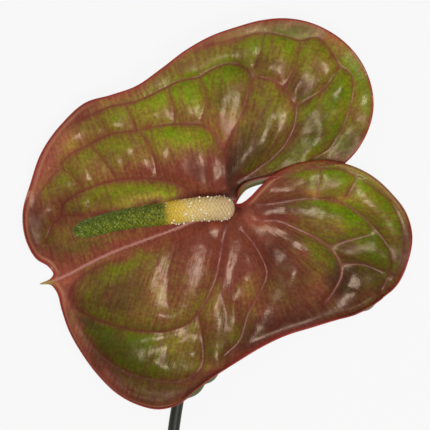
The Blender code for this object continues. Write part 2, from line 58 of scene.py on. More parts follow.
EDGE_BLADE = 0.5  # thickness at its very edge
HEART_BLADE = 2.0  # thickness at the heart
SEAT_HEIGHT = 9.2  # underside of the heart, over the surface
SEAT_RADIUS = 2.4
REST_SPOTS = [(-73.6, -8), (58.6, -33)]  # where the spathe's back lies on the surface
REST_RADIUS = 3.6
MESH_STEP = 0.8  # spacing of the spathe's mesh


# %% [markdown]
# ## Curves through listed points
#
# Every outline and vein is a short list of given places, with a smooth curve through them.
# Blender's curve objects could do that, but here the points are needed as numbers, to measure
# distances and to build the mesh on. So a small function draws each stretch as a cubic, whose
# slope at a place is the mean of the slopes on its two sides. What fades in or out does so by
# a soft step, a round hump or a turned oval.

# %% Curve helpers
PARTS = 12  # points on each stretch before they are spaced evenly


def smooth_line(points, step):
    """Points about a step apart on a smooth curve through the given ones."""
    knots = np.array(points, float)
    chord = np.linalg.norm(np.diff(knots[:, :2], axis=0), axis=1)
    slope = np.diff(knots, axis=0) / chord[:, None]
    before, after = chord[:-1, None], chord[1:, None]
    inner = (slope[:-1] * after + slope[1:] * before) / (before + after)
    tangent = np.vstack([slope[:1], inner, slope[-1:]])
    fine = []
    for i, length in enumerate(chord):
        t = np.linspace(0, 1, PARTS, endpoint=False)[:, None]
        fine.append(
            knots[i] * (2 * t**3 - 3 * t**2 + 1)
            + knots[i + 1] * (3 * t**2 - 2 * t**3)
            + tangent[i] * length * (t**3 - 2 * t**2 + t)
            + tangent[i + 1] * length * (t**3 - t**2)
        )
    fine = np.vstack(fine + [knots[-1:]])
    return respace(fine, step)


def walk(line):
    """How far along a line each of its points lies."""
    leg = np.linalg.norm(np.diff(line, axis=0), axis=1)
    return np.concatenate([[0], np.cumsum(leg)])


def read_at(stops, walked, table):
    """Every column of a table, read at stops along the walk that its rows follow."""
    return np.column_stack([np.interp(stops, walked, column) for column in table.T])


def respace(line, step):
    """The same line with points an even step apart in plan."""
    walked = walk(line[:, :2])
    count = max(2, int(round(walked[-1] / step)) + 1)
    return read_at(np.linspace(0, walked[-1], count), walked, line)


# %% Soft steps, humps and ovals
def along(table, where):
    """The value of a two-column table, read between its rows."""
    rows = np.array(table, float)
    return np.interp(where, rows[:, 0], rows[:, 1])


def smooth_step(low, high, value):
    """0 below low, 1 above high and a soft climb between."""
    t = np.clip((np.asarray(value, float) - low) / (high - low), 0, 1)
    return t * t * (3 - 2 * t)


def hump(away, width):
    """1 where away is 0 and fading to nothing at about twice the width."""
    return np.exp(-((away / width) ** 2))


def square_to(line):
    """The direction square to a plan line at each of its points, to its right."""
    ahead = np.gradient(line[:, :2], axis=0)
    ahead /= np.linalg.norm(ahead, axis=1)[:, None]
    return np.column_stack([ahead[:, 1], -ahead[:, 0]])


def oval(places, x, y, long, short, turn=0):
    """0 in the middle of a turned oval and 1 on its outline, rising as a square."""
    c, s = math.cos(math.radians(turn)), math.sin(math.radians(turn))
    dx, dy = places[:, 0] - x, places[:, 1] - y
    return ((dx * c + dy * s) / long) ** 2 + ((dy * c - dx * s) / short) ** 2


# %% [markdown]
# ## The spathe's outline
#
# The heart has two halves, one on each side of the midrib, and each has a rim that runs
# between the notch beside the heart and the pointed tip. Along it the blade's edge turns up,
# stays flat or turns under. A bent tube along the outline could stand for that, but it would
# be a second piece stuck on the leaf. Here the blade itself turns, so each row holds a place,
# the angle that the edge has turned up to, and how many millimetres of blade do the turning.

# %% The rims
UPPER_RIM = [
    (-0.5, 1.0, 20, 0.5), (1.5, 4.7, 165, 3.6), (4.6, 6.8, 190, 5.3), (8.2, 8.2, 185, 5.8),
    (12, 9.4, 180, 4.8), (16, 10.5, 160, 4.2), (20, 11.2, 90, 3.5), (26, 12.2, 20, 4),
    (34, 13.3, -10, 4), (40, 15, -20, 4), (46.7, 20.4, -10, 4), (52.2, 28.9, 10, 4),
    (55, 40, 20, 4), (54.5, 46.7, 10, 4), (50.3, 57.7, 10, 4), (42.7, 66.5, 10, 4),
    (30, 73.6, 5, 4), (20, 75.4, 0, 4), (10, 74.6, 0, 4), (0, 71.9, 5, 4), (-10, 68.4, 5, 4),
    (-20, 62.8, 0, 4), (-30, 55.3, 0, 4), (-40, 48.4, -5, 4), (-50, 44.9, -20, 4),
    (-60, 42, -35, 4), (-70, 33.3, -35, 4), (-78, 22, -25, 4), (-82.5, 9.7, 10, 4),
    (-85.7, -2.7, 50, 4.5), (-84, -14.4, 60, 4.5), (-80, -21.1, 50, 4), (-75.2, -24.2, 10, 2.5),
    (-73.4, -27.2, 0, 1), (-74.6, -28.9, 0, 0.5), (-78.7, -30.9, 0, 0.4),
]
LOWER_RIM = [
    (-78.7, -30.9, 0, 0.4), (-74.4, -31.2, 0, 0.5), (-72.2, -33.8, 30, 2.5),
    (-70, -41.1, 75, 4.5), (-66.7, -50.2, 90, 5), (-62.4, -57.8, 95, 5), (-55, -67.8, 100, 5),
    (-47.8, -74.7, 100, 5), (-40, -79, 95, 5), (-30, -81, 85, 5), (-23.8, -79.4, 90, 5),
    (-16.2, -74.2, 110, 5), (-8.2, -67.6, 95, 5), (0, -62.4, 60, 4.5), (10, -56.3, 45, 4),
    (20, -51.6, 35, 4), (30, -48.5, 35, 4), (40, -45.5, 60, 4), (48.5, -43.1, 100, 4.5),
    (57.6, -37.8, 90, 4.5), (65, -31.2, 60, 3.5), (69, -22.7, 10, 3), (70.8, -11.1, -25, 3),
    (68.2, -2, -50, 3), (62.3, 5.7, -60, 2.8), (55, 12.2, -60, 2.8), (45, 17, -60, 2.8),
    (35, 18.7, -55, 2.8), (25, 17.4, -40, 2.8), (15, 12.9, -30, 2.5), (10, 8.6, -20, 2.3),
    (5, 3.5, 0, 2), (2, 1.1, 10, 1), (-0.5, 1.0, 20, 0.5),
]
RIM_ROWS = 6
RIM_TAPER = 5.0  # the turning fades in over this much rim at the notch and tip
print("rims:", len(UPPER_RIM), "and", len(LOWER_RIM), "places")

# %% [markdown]
# ## The veins
#
# The skin is tied down along its veins and swells up between them, which makes the
# blisters. Those could be sculpted one by one, but a list of veins is easier to correct, and
# the blisters then follow of themselves. Each vein says how firmly it holds, from 1 for a
# deep main vein down to less than 0.1 for one that hardly dents the skin. Creases hold far
# less and get no raised cord.

# %% Midrib and veins of the upper half
# Each vein: its firmness, and the places along it.
MIDRIB = [
    (-0.5, 1), (-5, -2.2), (-10, -4), (-17.3, -6), (-25, -9.1), (-36, -13.1), (-50, -18.4),
    (-60, -23.2), (-68.2, -27.5), (-73.5, -29.7), (-78.7, -30.9),
]
FIRM_MIDRIB = [(1.0, MIDRIB)]
UPPER_VEINS = [
    (1.0, [(-9, 1.5), (-15, 4), (-22.4, 8.7), (-30, 11.1), (-40, 11.5), (-50, 10.4),
           (-60, 7.1), (-66, 4), (-69.6, 0.6), (-70.4, -3.5), (-74.4, -7.8),
           (-76, -13.2)]),
    (0.9, [(-5, 8), (-4.3, 15), (-4.9, 21.3), (-8.2, 28.2), (-14, 32.8), (-20, 33.2),
           (-30, 32.6), (-40, 30.6), (-50, 29.3), (-60, 24.4), (-66.7, 21.1),
           (-72.9, 13.6), (-78.7, 5.6), (-82, -1)]),
    (0.9, [(1, 10.5), (7.1, 14.4), (15, 19.9), (20.6, 26.7), (23.8, 37.3), (20.9, 44.9),
           (15, 50.4), (7, 52.3), (2.3, 56.2), (-2.4, 57.3), (-8.9, 55.3),
           (-14.7, 52), (-22.7, 50.2), (-30, 46.7), (-40, 42.2), (-50, 40.2),
           (-60, 35.9), (-70, 31.1)]),
    (0.8, [(-5, 22), (-1.3, 30), (2.7, 38.4), (5.2, 46), (7, 52.3)]),
    (0.7, [(30, 19), (36, 22.6), (41.3, 30), (45.3, 38.7), (46.9, 47.5), (45.6, 53.3),
           (41.6, 56.5), (37.6, 62.7), (32.5, 67.8), (25.6, 66.4), (20, 68),
           (10, 69.6), (0.9, 67.3), (-15, 63.6)]),
    (0.6, [(-50, -2.2), (-60, -3.1), (-70.4, -3.5)]),
    (0.5, [(-44, 40.9), (-41.3, 34.9), (-39.5, 30.8)]),
    (0.6, [(-39, 30.8), (-35.2, 25.3), (-32, 16.5), (-31, 11.3)]),
    (0.5, [(-58.5, 25.2), (-52.2, 17.7), (-47.6, 10.8)]),
    (0.5, [(-71, 16.2), (-65, 11.8), (-60.5, 6.9)]),
    (0.4, [(-57, 37.7), (-52.5, 32.2), (-51, 29)]),
    (0.5, [(-14.4, 52.1), (-12, 42.4), (-14.6, 33)]),
    (0.5, [(-27, 48.4), (-25.3, 41.3), (-24.3, 33)]),
    (0.6, [(25.6, 66.4), (24, 57.7), (19, 47.2)]),
    (0.6, [(41.6, 56.5), (35.8, 47.9), (30, 43.5), (23.2, 39.8)]),
    (0.02, [(20.9, 44.9), (13, 42), (8.8, 32.5), (6.5, 24), (2, 15), (-1.5, 9.5)]),
    (0.35, [(6, 53), (10, 62.5), (11.5, 69.5)]),
]
UPPER_CREASES = [
    (0.03, [(-71, -1), (-75, -0.2), (-82, -1.5)]),
    (0.03, [(-67.5, 30.5), (-65, 29.3), (-62.5, 25.5)]),
    (0.004, [(-5.1, 25.3), (-6.4, 27.9), (-7.1, 34.4), (-6.5, 42)]),
    (0.024, [(1.5, 57.2), (1, 62), (0.5, 67)]),
    (0.024, [(-14.4, 52), (-15, 57), (-15.5, 62)]),
    (0.024, [(-21.5, 50.5), (-22.5, 54.4), (-23.5, 57.6)]),
    (0.03, [(23, 30), (27, 29.5), (32.1, 30.4), (36, 31.3)]),
    (0.024, [(-3, 6), (-1.5, 9.5), (2, 14.8), (5, 17.3), (10, 20.6)]),
    (0.0144, [(-22, 31), (-20, 24), (-19, 17)]),
    (0.03, [(-12, 28), (-11, 20), (-9.5, 9)]),
    (0.0144, [(-29, 38), (-33, 35), (-34, 33)]),
    (0.0144, [(-45, 26), (-43, 20), (-40, 14)]),
    (0.0144, [(14, 66), (15, 60), (14.5, 54)]),
    (0.0144, [(33, 64), (30, 57), (26, 51)]),
    (0.0144, [(41, 46), (34, 39), (28, 35)]),
    (0.012, [(-40, 9), (-38, 5), (-36, 2)]),
    (0.012, [(-55, 6), (-52, 2), (-50, 0)]),
]

# %% Veins of the lower half
LOWER_VEINS = [
    (1.0, [(-4, -8), (-6, -19.8), (-8.4, -30), (-12.5, -38.5), (-18.7, -46.2),
           (-27.1, -49.5), (-40, -49.3), (-50, -47.2), (-60, -43.2), (-64.5, -40.5)]),
    (0.8, [(-14.8, -42), (-13.1, -55.2), (-14, -64.7), (-20.6, -69.6), (-30, -69.8),
           (-39.1, -68), (-50.7, -62.1), (-57.6, -55.3), (-60.9, -50.9)]),
    (0.9, [(2.7, -9.2), (8.9, -17.6), (12.5, -26.7), (8.9, -35.2), (4.7, -43.2),
           (1.2, -53.8), (-5.3, -60)]),
    (0.9, [(8, -5.4), (17, -5.6), (25, -9.1), (35, -14.4), (41.6, -22), (42.4, -26),
           (39.4, -33.4), (35, -39)]),
    (0.9, [(9, 0.6), (20, 2.4), (30, 3.5), (40, 2.6), (50, -3), (57.6, -10.7),
           (62.5, -20.1), (60.9, -28.5), (58, -34)]),
    (0.7, [(16, 10.4), (24, 14), (33, 15.4), (44, 14.4), (52, 10), (62, 2), (67.2, -10),
           (66.5, -22), (63, -28.5)]),
    (0.08, [(-6.5, -33), (-4, -43.2), (-6, -55)]),
    (0.5, [(37, -15.9), (45.3, -13.3), (54, -11)]),
    (0.5, [(42.2, -23), (51, -23), (59, -26)]),
    (0.5, [(32.2, 3.5), (32.9, 8.6), (33.6, 14.5)]),
    (0.5, [(42.5, 1.9), (46, 7.8), (48.4, 12)]),
    (0.5, [(-46, -20.4), (-55, -23.4), (-62.4, -28.2), (-67, -34), (-64, -44),
           (-60.9, -50.9)]),
]
LOWER_CREASES = [
    (0.012, [(12.4, -28), (19.4, -34.9), (22.7, -41.8), (17, -47.2)]),
    (0.024, [(56.5, -7), (60, -4.8), (64, -2)]),
    (0.024, [(61, -14.5), (63.4, -13.3), (66, -12.5)]),
    (0.018, [(-36, -50.5), (-37, -58), (-36, -66)]),
    (0.018, [(-28, -51), (-28, -58), (-27, -66)]),
    (0.0144, [(-21, -49), (-20.5, -57), (-20, -66)]),
    (0.0144, [(-45, -49), (-47, -54), (-48, -60)]),
    (0.035, [(-22, -12), (-26, -22), (-27, -34), (-27, -46)]),
    (0.01, [(-36, -18), (-40, -28), (-42, -38), (-41, -47)]),
    (0.03, [(0.5, -12), (1, -24), (-1.5, -34)]),
    (0.018, [(14, -9), (22, -15), (33, -24)]),
    (0.018, [(10, -12), (20, -22), (30, -34)]),
    (0.0144, [(20, -1), (30, -2), (40, -6)]),
    (0.0144, [(24, -4), (34, -7), (44, -11)]),
    (0.0144, [(24, 4), (24.5, 8), (24, 12)]),
]

for name, veins in (("upper", UPPER_VEINS + UPPER_CREASES),
                    ("lower", LOWER_VEINS + LOWER_CREASES)):
    print(name, "half:", len(veins), "veins and creases")

# %% [markdown]
# ## Gentle folds
#
# Wax shines where it tips towards the large soft light and nowhere else, so it is the slope
# of the skin that decides where a blister gleams. A real blister is no plain pillow: it has
# shallow folds. They could be sculpted by hand, but as rows of numbers they can be moved and
# weighed one at a time. Each fold tips the skin over a small oval, towards the light where
# the real skin gleams and away from it where it doesn't.

# %% Folds of the skin
# Each row: x, y, half length, half width, how steeply the skin climbs to the right and
# upward in the middle, and the oval's turn in degrees where it has one.
UPPER_FOLDS = [
    (-48, 33.7, 4, 3.4, -0.33, -0.07), (-63, 28.5, 4, 3.4, -0.36, -0.02),
    (-47, 18.5, 4, 3.4, -0.6, -0.22, 90), (-42.5, 22, 4, 3.4, -0.51, 0.03, 90),
    (-36, 18.5, 4, 3.4, 0.01, 0.13, 90), (-28.5, 21, 4, 3.4, -0.6, 0.02, 90),
    (-59.5, 11.5, 4, 3.4, -0.43, -0.41, 90), (-60, 1.2, 6.5, 3.4, -0.6, -0.11),
    (-27.5, 38, 5.2, 3.8, 0.09, 0.08, 90), (-15.3, 39.6, 5.2, 3.5, 0.17, 0, 90),
    (8, 62.8, 4, 3.4, 0.15, 0.15, 90), (28, 52.8, 7.2, 3.9, -0.19, 0.2, 70),
    (36.3, 55.4, 4, 3.4, 0.35, 0.1, 90), (25.5, 67.9, 4, 3.4, -0.09, -0.31),
    (45.3, 58, 4, 3.4, -0.12, 0.06), (49.4, 53.2, 4, 3.4, -0.01, 0.17, 90),
    (51.2, 42.8, 4, 3.4, 0.03, 0.15, 90), (41.2, 46, 6, 3.9, 0.1, 0.26, 60),
    (32.2, 37.3, 6.3, 3.9, -0.11, 0.27, 50), (43.4, 28.8, 4, 3.4, -0.29, 0.21),
    (39.7, 23.6, 4.6, 3.9, -0.31, 0.2, 20), (17.5, 33.8, 7.2, 3.9, 0.23, 0.02, 65),
    (27.5, 20.6, 7.9, 3.9, 0.29, -0.14, 42), (-6.5, 14.2, 7, 3.4, 0.57, -0.06, 90),
    (-14, 18.4, 6.1, 3.9, 0.04, 0.12, 110), (-79.4, -9.6, 4.5, 4.5, -0.07, 0.06),
    (-78.3, -4.1, 4.5, 4.5, 0.05, 0.13), (-22.2, -0.8, 4.5, 4.5, 0.1, -0.11),
    (6.4, 25.2, 4.5, 4.5, 0.14, 0.05), (5.3, 58.6, 4.5, 4.5, 0.13, -0.19),
    (31.7, 69.6, 4.5, 4.5, -0.07, 0.08), (37.2, 16.8, 4.5, 4.5, -0.15, -0.05),
    (46.7, 33.7, 4.5, 4.5, 0.12, 0.18), (-26.6, 48.7, 4.5, 4.5, 0.03, -0.12),
    (46, 25, 7, 6, -0.22, 0), (8, 32, 5, 6, 0.12, 0), (35.5, 33, 4, 6, -0.22, 0),
    (20, 21, 5, 4, 0, -0.2, 40), (19.5, 37, 8, 3, 0.3, 0.1, 68), (12, 32, 8, 3, 0.22, -0.08, 65),
    (-1, 35, 10, 3, 0.42, -0.2, 80), (3, 22, 6, 3, 0.16, -0.06, 60), (31, 28, 4, 4, 0.15, -0.1),
    (-15, 13, 4, 5, 0.15, -0.1), (-34, 15.5, 3.5, 4, -0.15, 0.1), (-48, 34, 4, 3, -0.05, -0.15),
    (25, 46, 3, 4, -0.15, 0.1), (45, 58, 3, 5, 0.05, 0.15, 30), (25, 21, 4, 3, 0.15, -0.03),
    (42, 45, 3, 4, -0.12, 0.12), (-17, 16, 5, 4, 0.12, 0),
]
LOWER_FOLDS = [
    (-30, -32.5, 12.5, 3.9, -0.18, -0.03, 80), (-7.9, -9.9, 4, 4.4, 0.32, 0.37, 90),
    (-3, -23, 10.6, 3.9, -0.5, 0.19, 80), (-7.9, -40.5, 8.7, 3.9, -0.22, 0.11, 75),
    (-27.8, -52, 13.3, 7.5, -0.29, 0.58), (30.8, 7.8, 4.9, 3.4, 0.36, -0.34, 90),
    (35.4, 8.7, 4, 3.4, -0.12, -0.08, 90), (41, 9.6, 4, 3.4, 0.18, -0.1),
    (53.6, 1.6, 4.2, 3.4, 0.03, -0.16), (11.2, -8.3, 12, 3.9, -0.11, 0.34, -25),
    (25.3, -15.7, 5.6, 4.9, 0.08, 0.27), (18, -18.8, 4, 3.4, -0.06, 0.07),
    (46, -18.3, 4, 3.4, -0.03, -0.24), (63.6, -18.6, 4, 3.4, -0.35, -0.27, 90),
    (-20, -60.2, 4.5, 4.5, -0.05, 0.39), (-17.8, -72.3, 4.5, 4.5, 0, -0.13),
    (-13.4, -60.2, 4.5, 4.5, -0.16, 0.2), (-5.3, -63.1, 4.5, 4.5, -0.14, -0.05),
    (-5.9, -53.2, 4.5, 4.5, -0.17, 0.09), (-0.2, -38.2, 4.5, 4.5, -0.11, 0.18),
    (4.2, -57.3, 4.5, 4.5, 0.09, 0.11), (4.2, -25, 4.5, 4.5, -0.13, -0.1),
    (11.4, -46.4, 4.5, 4.5, 0.06, 0.12), (21.8, 14.6, 4.5, 4.5, 0.18, 0.06),
    (30.6, 16.8, 4.5, 4.5, 0.13, -0.12), (39.4, 16.8, 4.5, 4.5, -0.24, -0.05),
    (46, 14.6, 4.5, 4.5, -0.03, 0.1), (-35.4, -60.2, 4.5, 4.5, 0.04, -0.13),
    (-21.8, -63.7, 4.5, 4.5, 0.13, 0.12), (7.9, -51.4, 4.5, 4.5, 0.08, 0.1),
    (9.7, -3, 4.5, 4.5, 0.12, 0.03), (-33.5, -31, 9, 3, -0.24, 0.02, 80),
    (-21.5, -50, 5, 4, -0.25, 0.1), (43, -15.5, 4, 3, 0.15, -0.15),
    (-28.5, -41.5, 4, 3, -0.15, -0.15), (32.8, 15.7, 4.5, 4.5, 0.04, -0.14),
    (26.2, 15.7, 4.5, 4.5, 0.11, -0.08), (18, -37, 13, 14, 0, 0.25), (20, -27, 5, 6, 0.2, 0),
    (21.5, -27, 4, 4, 0.2, 0), (24, 9, 5, 2.5, 0.12, 0.1), (37, 12, 4, 2.5, -0.15, 0),
    (-5, -45, 3, 5, -0.15, 0), (4.8, -2.6, 4, 2.4, -0.45, 0.35, -30),
    (10.5, -6.5, 4, 3, 0, 0.2, -30), (47, -33.5, 3.5, 3, 0.05, -0.18),
    (39.5, -41, 4, 2.5, 0, -0.18, 20), (3, -31, 3, 5, 0.12, 0.12),
    (23, -2, 5, 2.5, 0.1, 0.02, -10), (36, -6, 4, 3, -0.05, 0.15),
]
print("folds:", len(UPPER_FOLDS), "and", len(LOWER_FOLDS))

# %% [markdown]
# ## The height of the blade
#
# Several things add up to the height of the upper face. A smooth sheet through a few height
# stations gives the lie of the whole heart, as a thin plate bends. The skin's swelling is
# the shape of a soap film that is blown up from below and tied down at the veins: on a fine
# grid each cell settles between its neighbours, the push from below and the ties. The folds,
# the dimple round the heart and the step where one lobe lies over the other come on top.
# Unlike in one sculpted surface, each of them can be corrected without spoiling the rest.

# %% The lie of the heart
STATIONS = [
    (0, 0, 15.5), (-20, -7, 16), (-40, -14.4, 13), (-56, -21, 8.5), (-68, -26, 4.6),
    (-79, -31, 2.5), (-72, -10, 1.7), (-84, -6, 2.8), (-81, 10, 5.5), (-70, 33, 9.5),
    (-60, 14, 9), (-45, 27, 13.5), (-60, 41, 11.5), (-40, 47, 14), (-20, 62, 15.5),
    (-20, 33, 16.5), (0, 71, 16.5), (20, 75, 16), (20, 45, 17.5), (40, 67, 15), (54, 45, 13.5),
    (45, 20, 13.5), (-15, -35, 14.5), (-42, -36, 10.5), (-66, -45, 6), (-52, -64, 7.5),
    (-30, -79, 8), (-28, -60, 9.5), (-6, -65, 11), (10, -54, 10), (28, -46, 7.5), (42, -42, 4.6),
    (53, -33, 2.3), (64, -24, 4.5), (70, -11, 7.5), (62, 4, 10.5), (45, 15, 14), (28, 5, 15.5),
    (45, -10, 9.5), (22, -22, 12.5),
]
NOTCH_LINE = [(0, 1), (10, 9), (20, 13), (34, 16), (46, 18), (70, 22)]
FUNNEL_DEPTH = 2.6
FUNNEL_RADIUS = 7.0
FUNNEL_MIDDLE = (-2, 3)  # the dimple lies a little above the heart
LOBE_LIFT = 2.6  # how far each lobe goes out of the other's way, up or down
LOBE_STARTS = (0, 9)  # between these distances to the right the lift begins
LOBE_STOPS = (50, 72)  # and between these it ends
LOBE_WIDTH = 13  # how far to each side of the notch it reaches
SETTLE = 1.5  # lowers the whole blade, so that it rests on the surface


class Ground:
    """The smoothest sheet through the height stations."""

    def __init__(self, stations):
        rows = np.array(stations, float)
        self.at = rows[:, :2]
        count = len(rows)
        system = np.zeros((count + 3, count + 3))
        system[:count, :count] = self.bend(self.at)
        system[:count, count:] = np.column_stack([np.ones(count), self.at])
        system[count:, :count] = system[:count, count:].T
        self.weights = np.linalg.solve(system, np.concatenate([rows[:, 2], [0, 0, 0]]))

    def bend(self, places):
        apart = np.linalg.norm(places[:, None, :] - self.at[None, :, :], axis=2)
        return apart**2 * np.log(apart + 1e-9)

    def height(self, places):
        flat = np.column_stack([np.ones(len(places)), places])
        return self.bend(places) @ self.weights[:-3] + flat @ self.weights[-3:]


ground = Ground(STATIONS)
print("height stations:", len(STATIONS))

# %% The swelling skin
SWELL = 6.0  # how high the skin would blow up between far veins
SWELL_REACH = 4.8  # how far from a vein that takes


class Skin:
    """A film on a fine grid, pushed up from below and held down along the veins."""

    LOW = np.array([-92.0, -88.0])
    HIGH = np.array([77.0, 82.0])
    CELL = 0.5
    GRIP_WIDTH = 0.7
    GRIP = 3.0  # pull of a vein of firmness 1
    REACH = 5  # cells to each side of a vein's point that feel it
    ROUNDS = 700

    def __init__(self, veins):
        self.shape = tuple(((self.HIGH - self.LOW) / self.CELL).astype(int) + 1)
        self.grip = np.zeros(self.shape)
        for firmness, line in veins:
            for place in smooth_line(line, self.CELL)[:, :2]:
                self.press(place, firmness)
        hold = 1 / SWELL_REACH**2 + self.GRIP * self.grip
        push = SWELL / SWELL_REACH**2
        level = np.zeros(self.shape)
        area = self.CELL**2
        for _ in range(self.ROUNDS):
            around = np.zeros(self.shape)
            around[1:, :] += level[:-1, :]
            around[:-1, :] += level[1:, :]
            around[:, 1:] += level[:, :-1]
            around[:, :-1] += level[:, 1:]
            level = (around + area * push) / (4 + area * hold)
        self.level = level

    def press(self, place, firmness):
        """Hold the skin down round one point of a vein."""
        i, j = ((place - self.LOW) / self.CELL).astype(int)
        rows = np.arange(max(i - self.REACH, 0), min(i + self.REACH + 2, self.shape[0]))
        columns = np.arange(max(j - self.REACH, 0), min(j + self.REACH + 2, self.shape[1]))
        dx = self.LOW[0] + rows * self.CELL - place[0]
        dy = self.LOW[1] + columns * self.CELL - place[1]
        away = dx[:, None] ** 2 + dy[None, :] ** 2
        window = np.ix_(rows, columns)
        held = firmness * np.exp(-away / self.GRIP_WIDTH**2)
        self.grip[window] = np.maximum(self.grip[window], held)

    def height(self, places):
        """The film's height at any place, blended from the four cells round it."""
        u, v = ((places - self.LOW) / self.CELL).T
        i = np.clip(u.astype(int), 0, self.shape[0] - 2)
        j = np.clip(v.astype(int), 0, self.shape[1] - 2)
        a, b = u - i, v - j
        return (
            self.level[i, j] * (1 - a) * (1 - b)
            + self.level[i + 1, j] * a * (1 - b)
            + self.level[i, j + 1] * (1 - a) * b
            + self.level[i + 1, j + 1] * a * b
        )


# %% The nearest vein
VEIN_STEP = 0.4  # spacing of the points that a distance to a vein is measured to


def plan_tree(places):
    """A search tree over places in plan."""
    tree = KDTree(len(places))
    for index, (x, y) in enumerate(places):
        tree.insert((x, y, 0), index)
    tree.balance()
    return tree


def nearest_vein(veins, places):
    """Distance to the nearest vein, and its firmness."""
    rows = []
    for firmness, line in veins:
        rows += [(x, y, firmness) for x, y in smooth_line(line, VEIN_STEP)[:, :2]]
    tree = plan_tree([(x, y) for x, y, _ in rows])
    found = [tree.find((x, y, 0)) for x, y in places]
    away = np.array([hit[2] for hit in found])
    firmness = np.array([rows[hit[1]][2] for hit in found])
    return away, firmness


# %% One half of the heart
CORD_RISE = 0.05  # how far a main vein stands out of its groove
CORD_WIDTH = 0.5
RIPPLE = 0.22  # uneven skin on the blisters
RIPPLE_SIZES = (7, 3)  # its large and its small waves
RIPPLE_STARTS = (1, 4)  # it begins between these distances from a vein
CALM = (3, 14)  # the swelling begins between these distances from the heart
EDGE_FIRMNESS = 0.4  # the outline holds the skin down too


class Half:
    """One side of the midrib: its rim, its veins and its height at any place."""

    def __init__(self, rim, veins, creases, folds, side):
        self.rim = rim
        self.folds = folds
        self.side = side
        self.veins = veins
        self.creases = creases
        edge = [(x, y) for x, y, _, _ in rim]
        self.skin = Skin(FIRM_MIDRIB + [(EDGE_FIRMNESS, edge)] + veins + creases)

    def height(self, places):
        """Height of the upper face over the surface that the flower lies on."""
        places = np.asarray(places, float)
        from_heart = np.linalg.norm(places, axis=1)
        from_dimple = np.linalg.norm(places[:, :2] - FUNNEL_MIDDLE, axis=1)
        funnel = -FUNNEL_DEPTH * hump(from_dimple, FUNNEL_RADIUS)
        x, y = places[:, 0], places[:, 1]
        past_notch = smooth_step(*LOBE_STARTS, x) * (1 - smooth_step(*LOBE_STOPS, x))
        near_notch = hump(y - along(NOTCH_LINE, x), LOBE_WIDTH)
        step = self.side * LOBE_LIFT * past_notch * near_notch
        calm = smooth_step(*CALM, from_heart)
        swell = self.skin.height(places) * calm
        for mx, my, long, short, right, upward, *turn in self.folds:
            climb = right * (x - mx) + upward * (y - my)
            swell = swell + climb * np.exp(-oval(places, mx, my, long, short, *turn))
        return ground.height(places) + funnel + step + swell - SETTLE

    def detail(self, places):
        """The vein cords and the uneven skin, on top of the height."""
        away, firmness = nearest_vein(FIRM_MIDRIB + self.veins, places)
        cord = CORD_RISE * firmness * hump(away, CORD_WIDTH)
        big, small = RIPPLE_SIZES
        ripple = np.array([
            noise.noise((x / big, y / big, self.side * 5))
            + 0.5 * noise.noise((x / small, y / small, 2))
            for x, y in places
        ])
        return cord + RIPPLE * ripple * smooth_step(*RIPPLE_STARTS, away)

    def slope(self, places, outward):
        """Climb of the upper face towards the rim, as an angle."""
        rise = self.height(places + outward) - self.height(places - outward)
        return np.arctan2(rise, 2)


upper = Half(UPPER_RIM, UPPER_VEINS, UPPER_CREASES, UPPER_FOLDS, -1)
lower = Half(LOWER_RIM, LOWER_VEINS, LOWER_CREASES, LOWER_FOLDS, 1)
print("highest blister, mm:", round(float(upper.skin.level.max()), 2))

# %% [markdown]
# ## Turning the rim
#
# A rim that rolls up can't be a height over the plan, because it leans back over itself.
# It is an arc instead: starting from a foot inside the outline, the blade's angle turns
# evenly from the slope of the skin to the angle at its edge. The foot is set so that the
# widest point of the arc touches the outline.

# %% Rows of the turned rim
THIN_EDGE = 2.2  # the blade thins out over so much of its edge
EVEN_LEAN = 21  # rows over which the skin's lean at the rim is evened out
ARC_PARTS = 25
FULL_EDGE = (2, 8)  # from the rim's ends, where its thickness comes to count


def edge_thickness(away):
    """The blade thins out over the last two millimetres before its edge."""
    return EDGE_BLADE + (BLADE - EDGE_BLADE) * smooth_step(0, THIN_EDGE, away)


def rim_rows(half):
    """Places along the rim, for each row from the foot of the turning to the edge."""
    stops = smooth_line(half.rim, MESH_STEP)
    outward = square_to(stops)
    walked = np.arange(len(stops)) * MESH_STEP
    from_end = np.minimum(walked, walked[-1] - walked)
    width = stops[:, 3] * smooth_step(0, RIM_TAPER, from_end)
    lean = half.slope(stops[:, :2] - outward * width[:, None], outward)
    window = np.ones(EVEN_LEAN) / EVEN_LEAN
    lean = np.convolve(np.pad(lean, EVEN_LEAN // 2, "edge"), window, "valid")
    turned = np.radians(stops[:, 2])
    fine = np.linspace(0, 1, ARC_PARTS)
    angle = lean[:, None] + (turned - lean)[:, None] * fine
    stride = (width / (len(fine) - 1))[:, None]
    start = np.zeros((len(stops), 1))
    out = np.hstack([start, np.cumsum(np.cos(angle[:, 1:]) * stride, axis=1)])
    up = np.hstack([start, np.cumsum(np.sin(angle[:, 1:]) * stride, axis=1)])
    thick = edge_thickness(width[:, None] * (1 - fine))
    thick = thick * smooth_step(*FULL_EDGE, from_end)[:, None]
    below = out + thick * np.sin(angle)
    edge = (out[:, -1] + below[:, -1] + thick[:, -1]) / 2
    furthest = np.maximum(np.maximum(out, below).max(axis=1), edge)
    foot = stops[:, :2] - outward * furthest[:, None]
    base = half.height(foot)
    rows = []
    for part in np.linspace(0, len(fine) - 1, RIM_ROWS + 1).astype(int):
        place = foot + outward * out[:, part, None]
        rows.append(np.column_stack([place, base + up[:, part]]))
    return np.array(rows), foot, outward, width


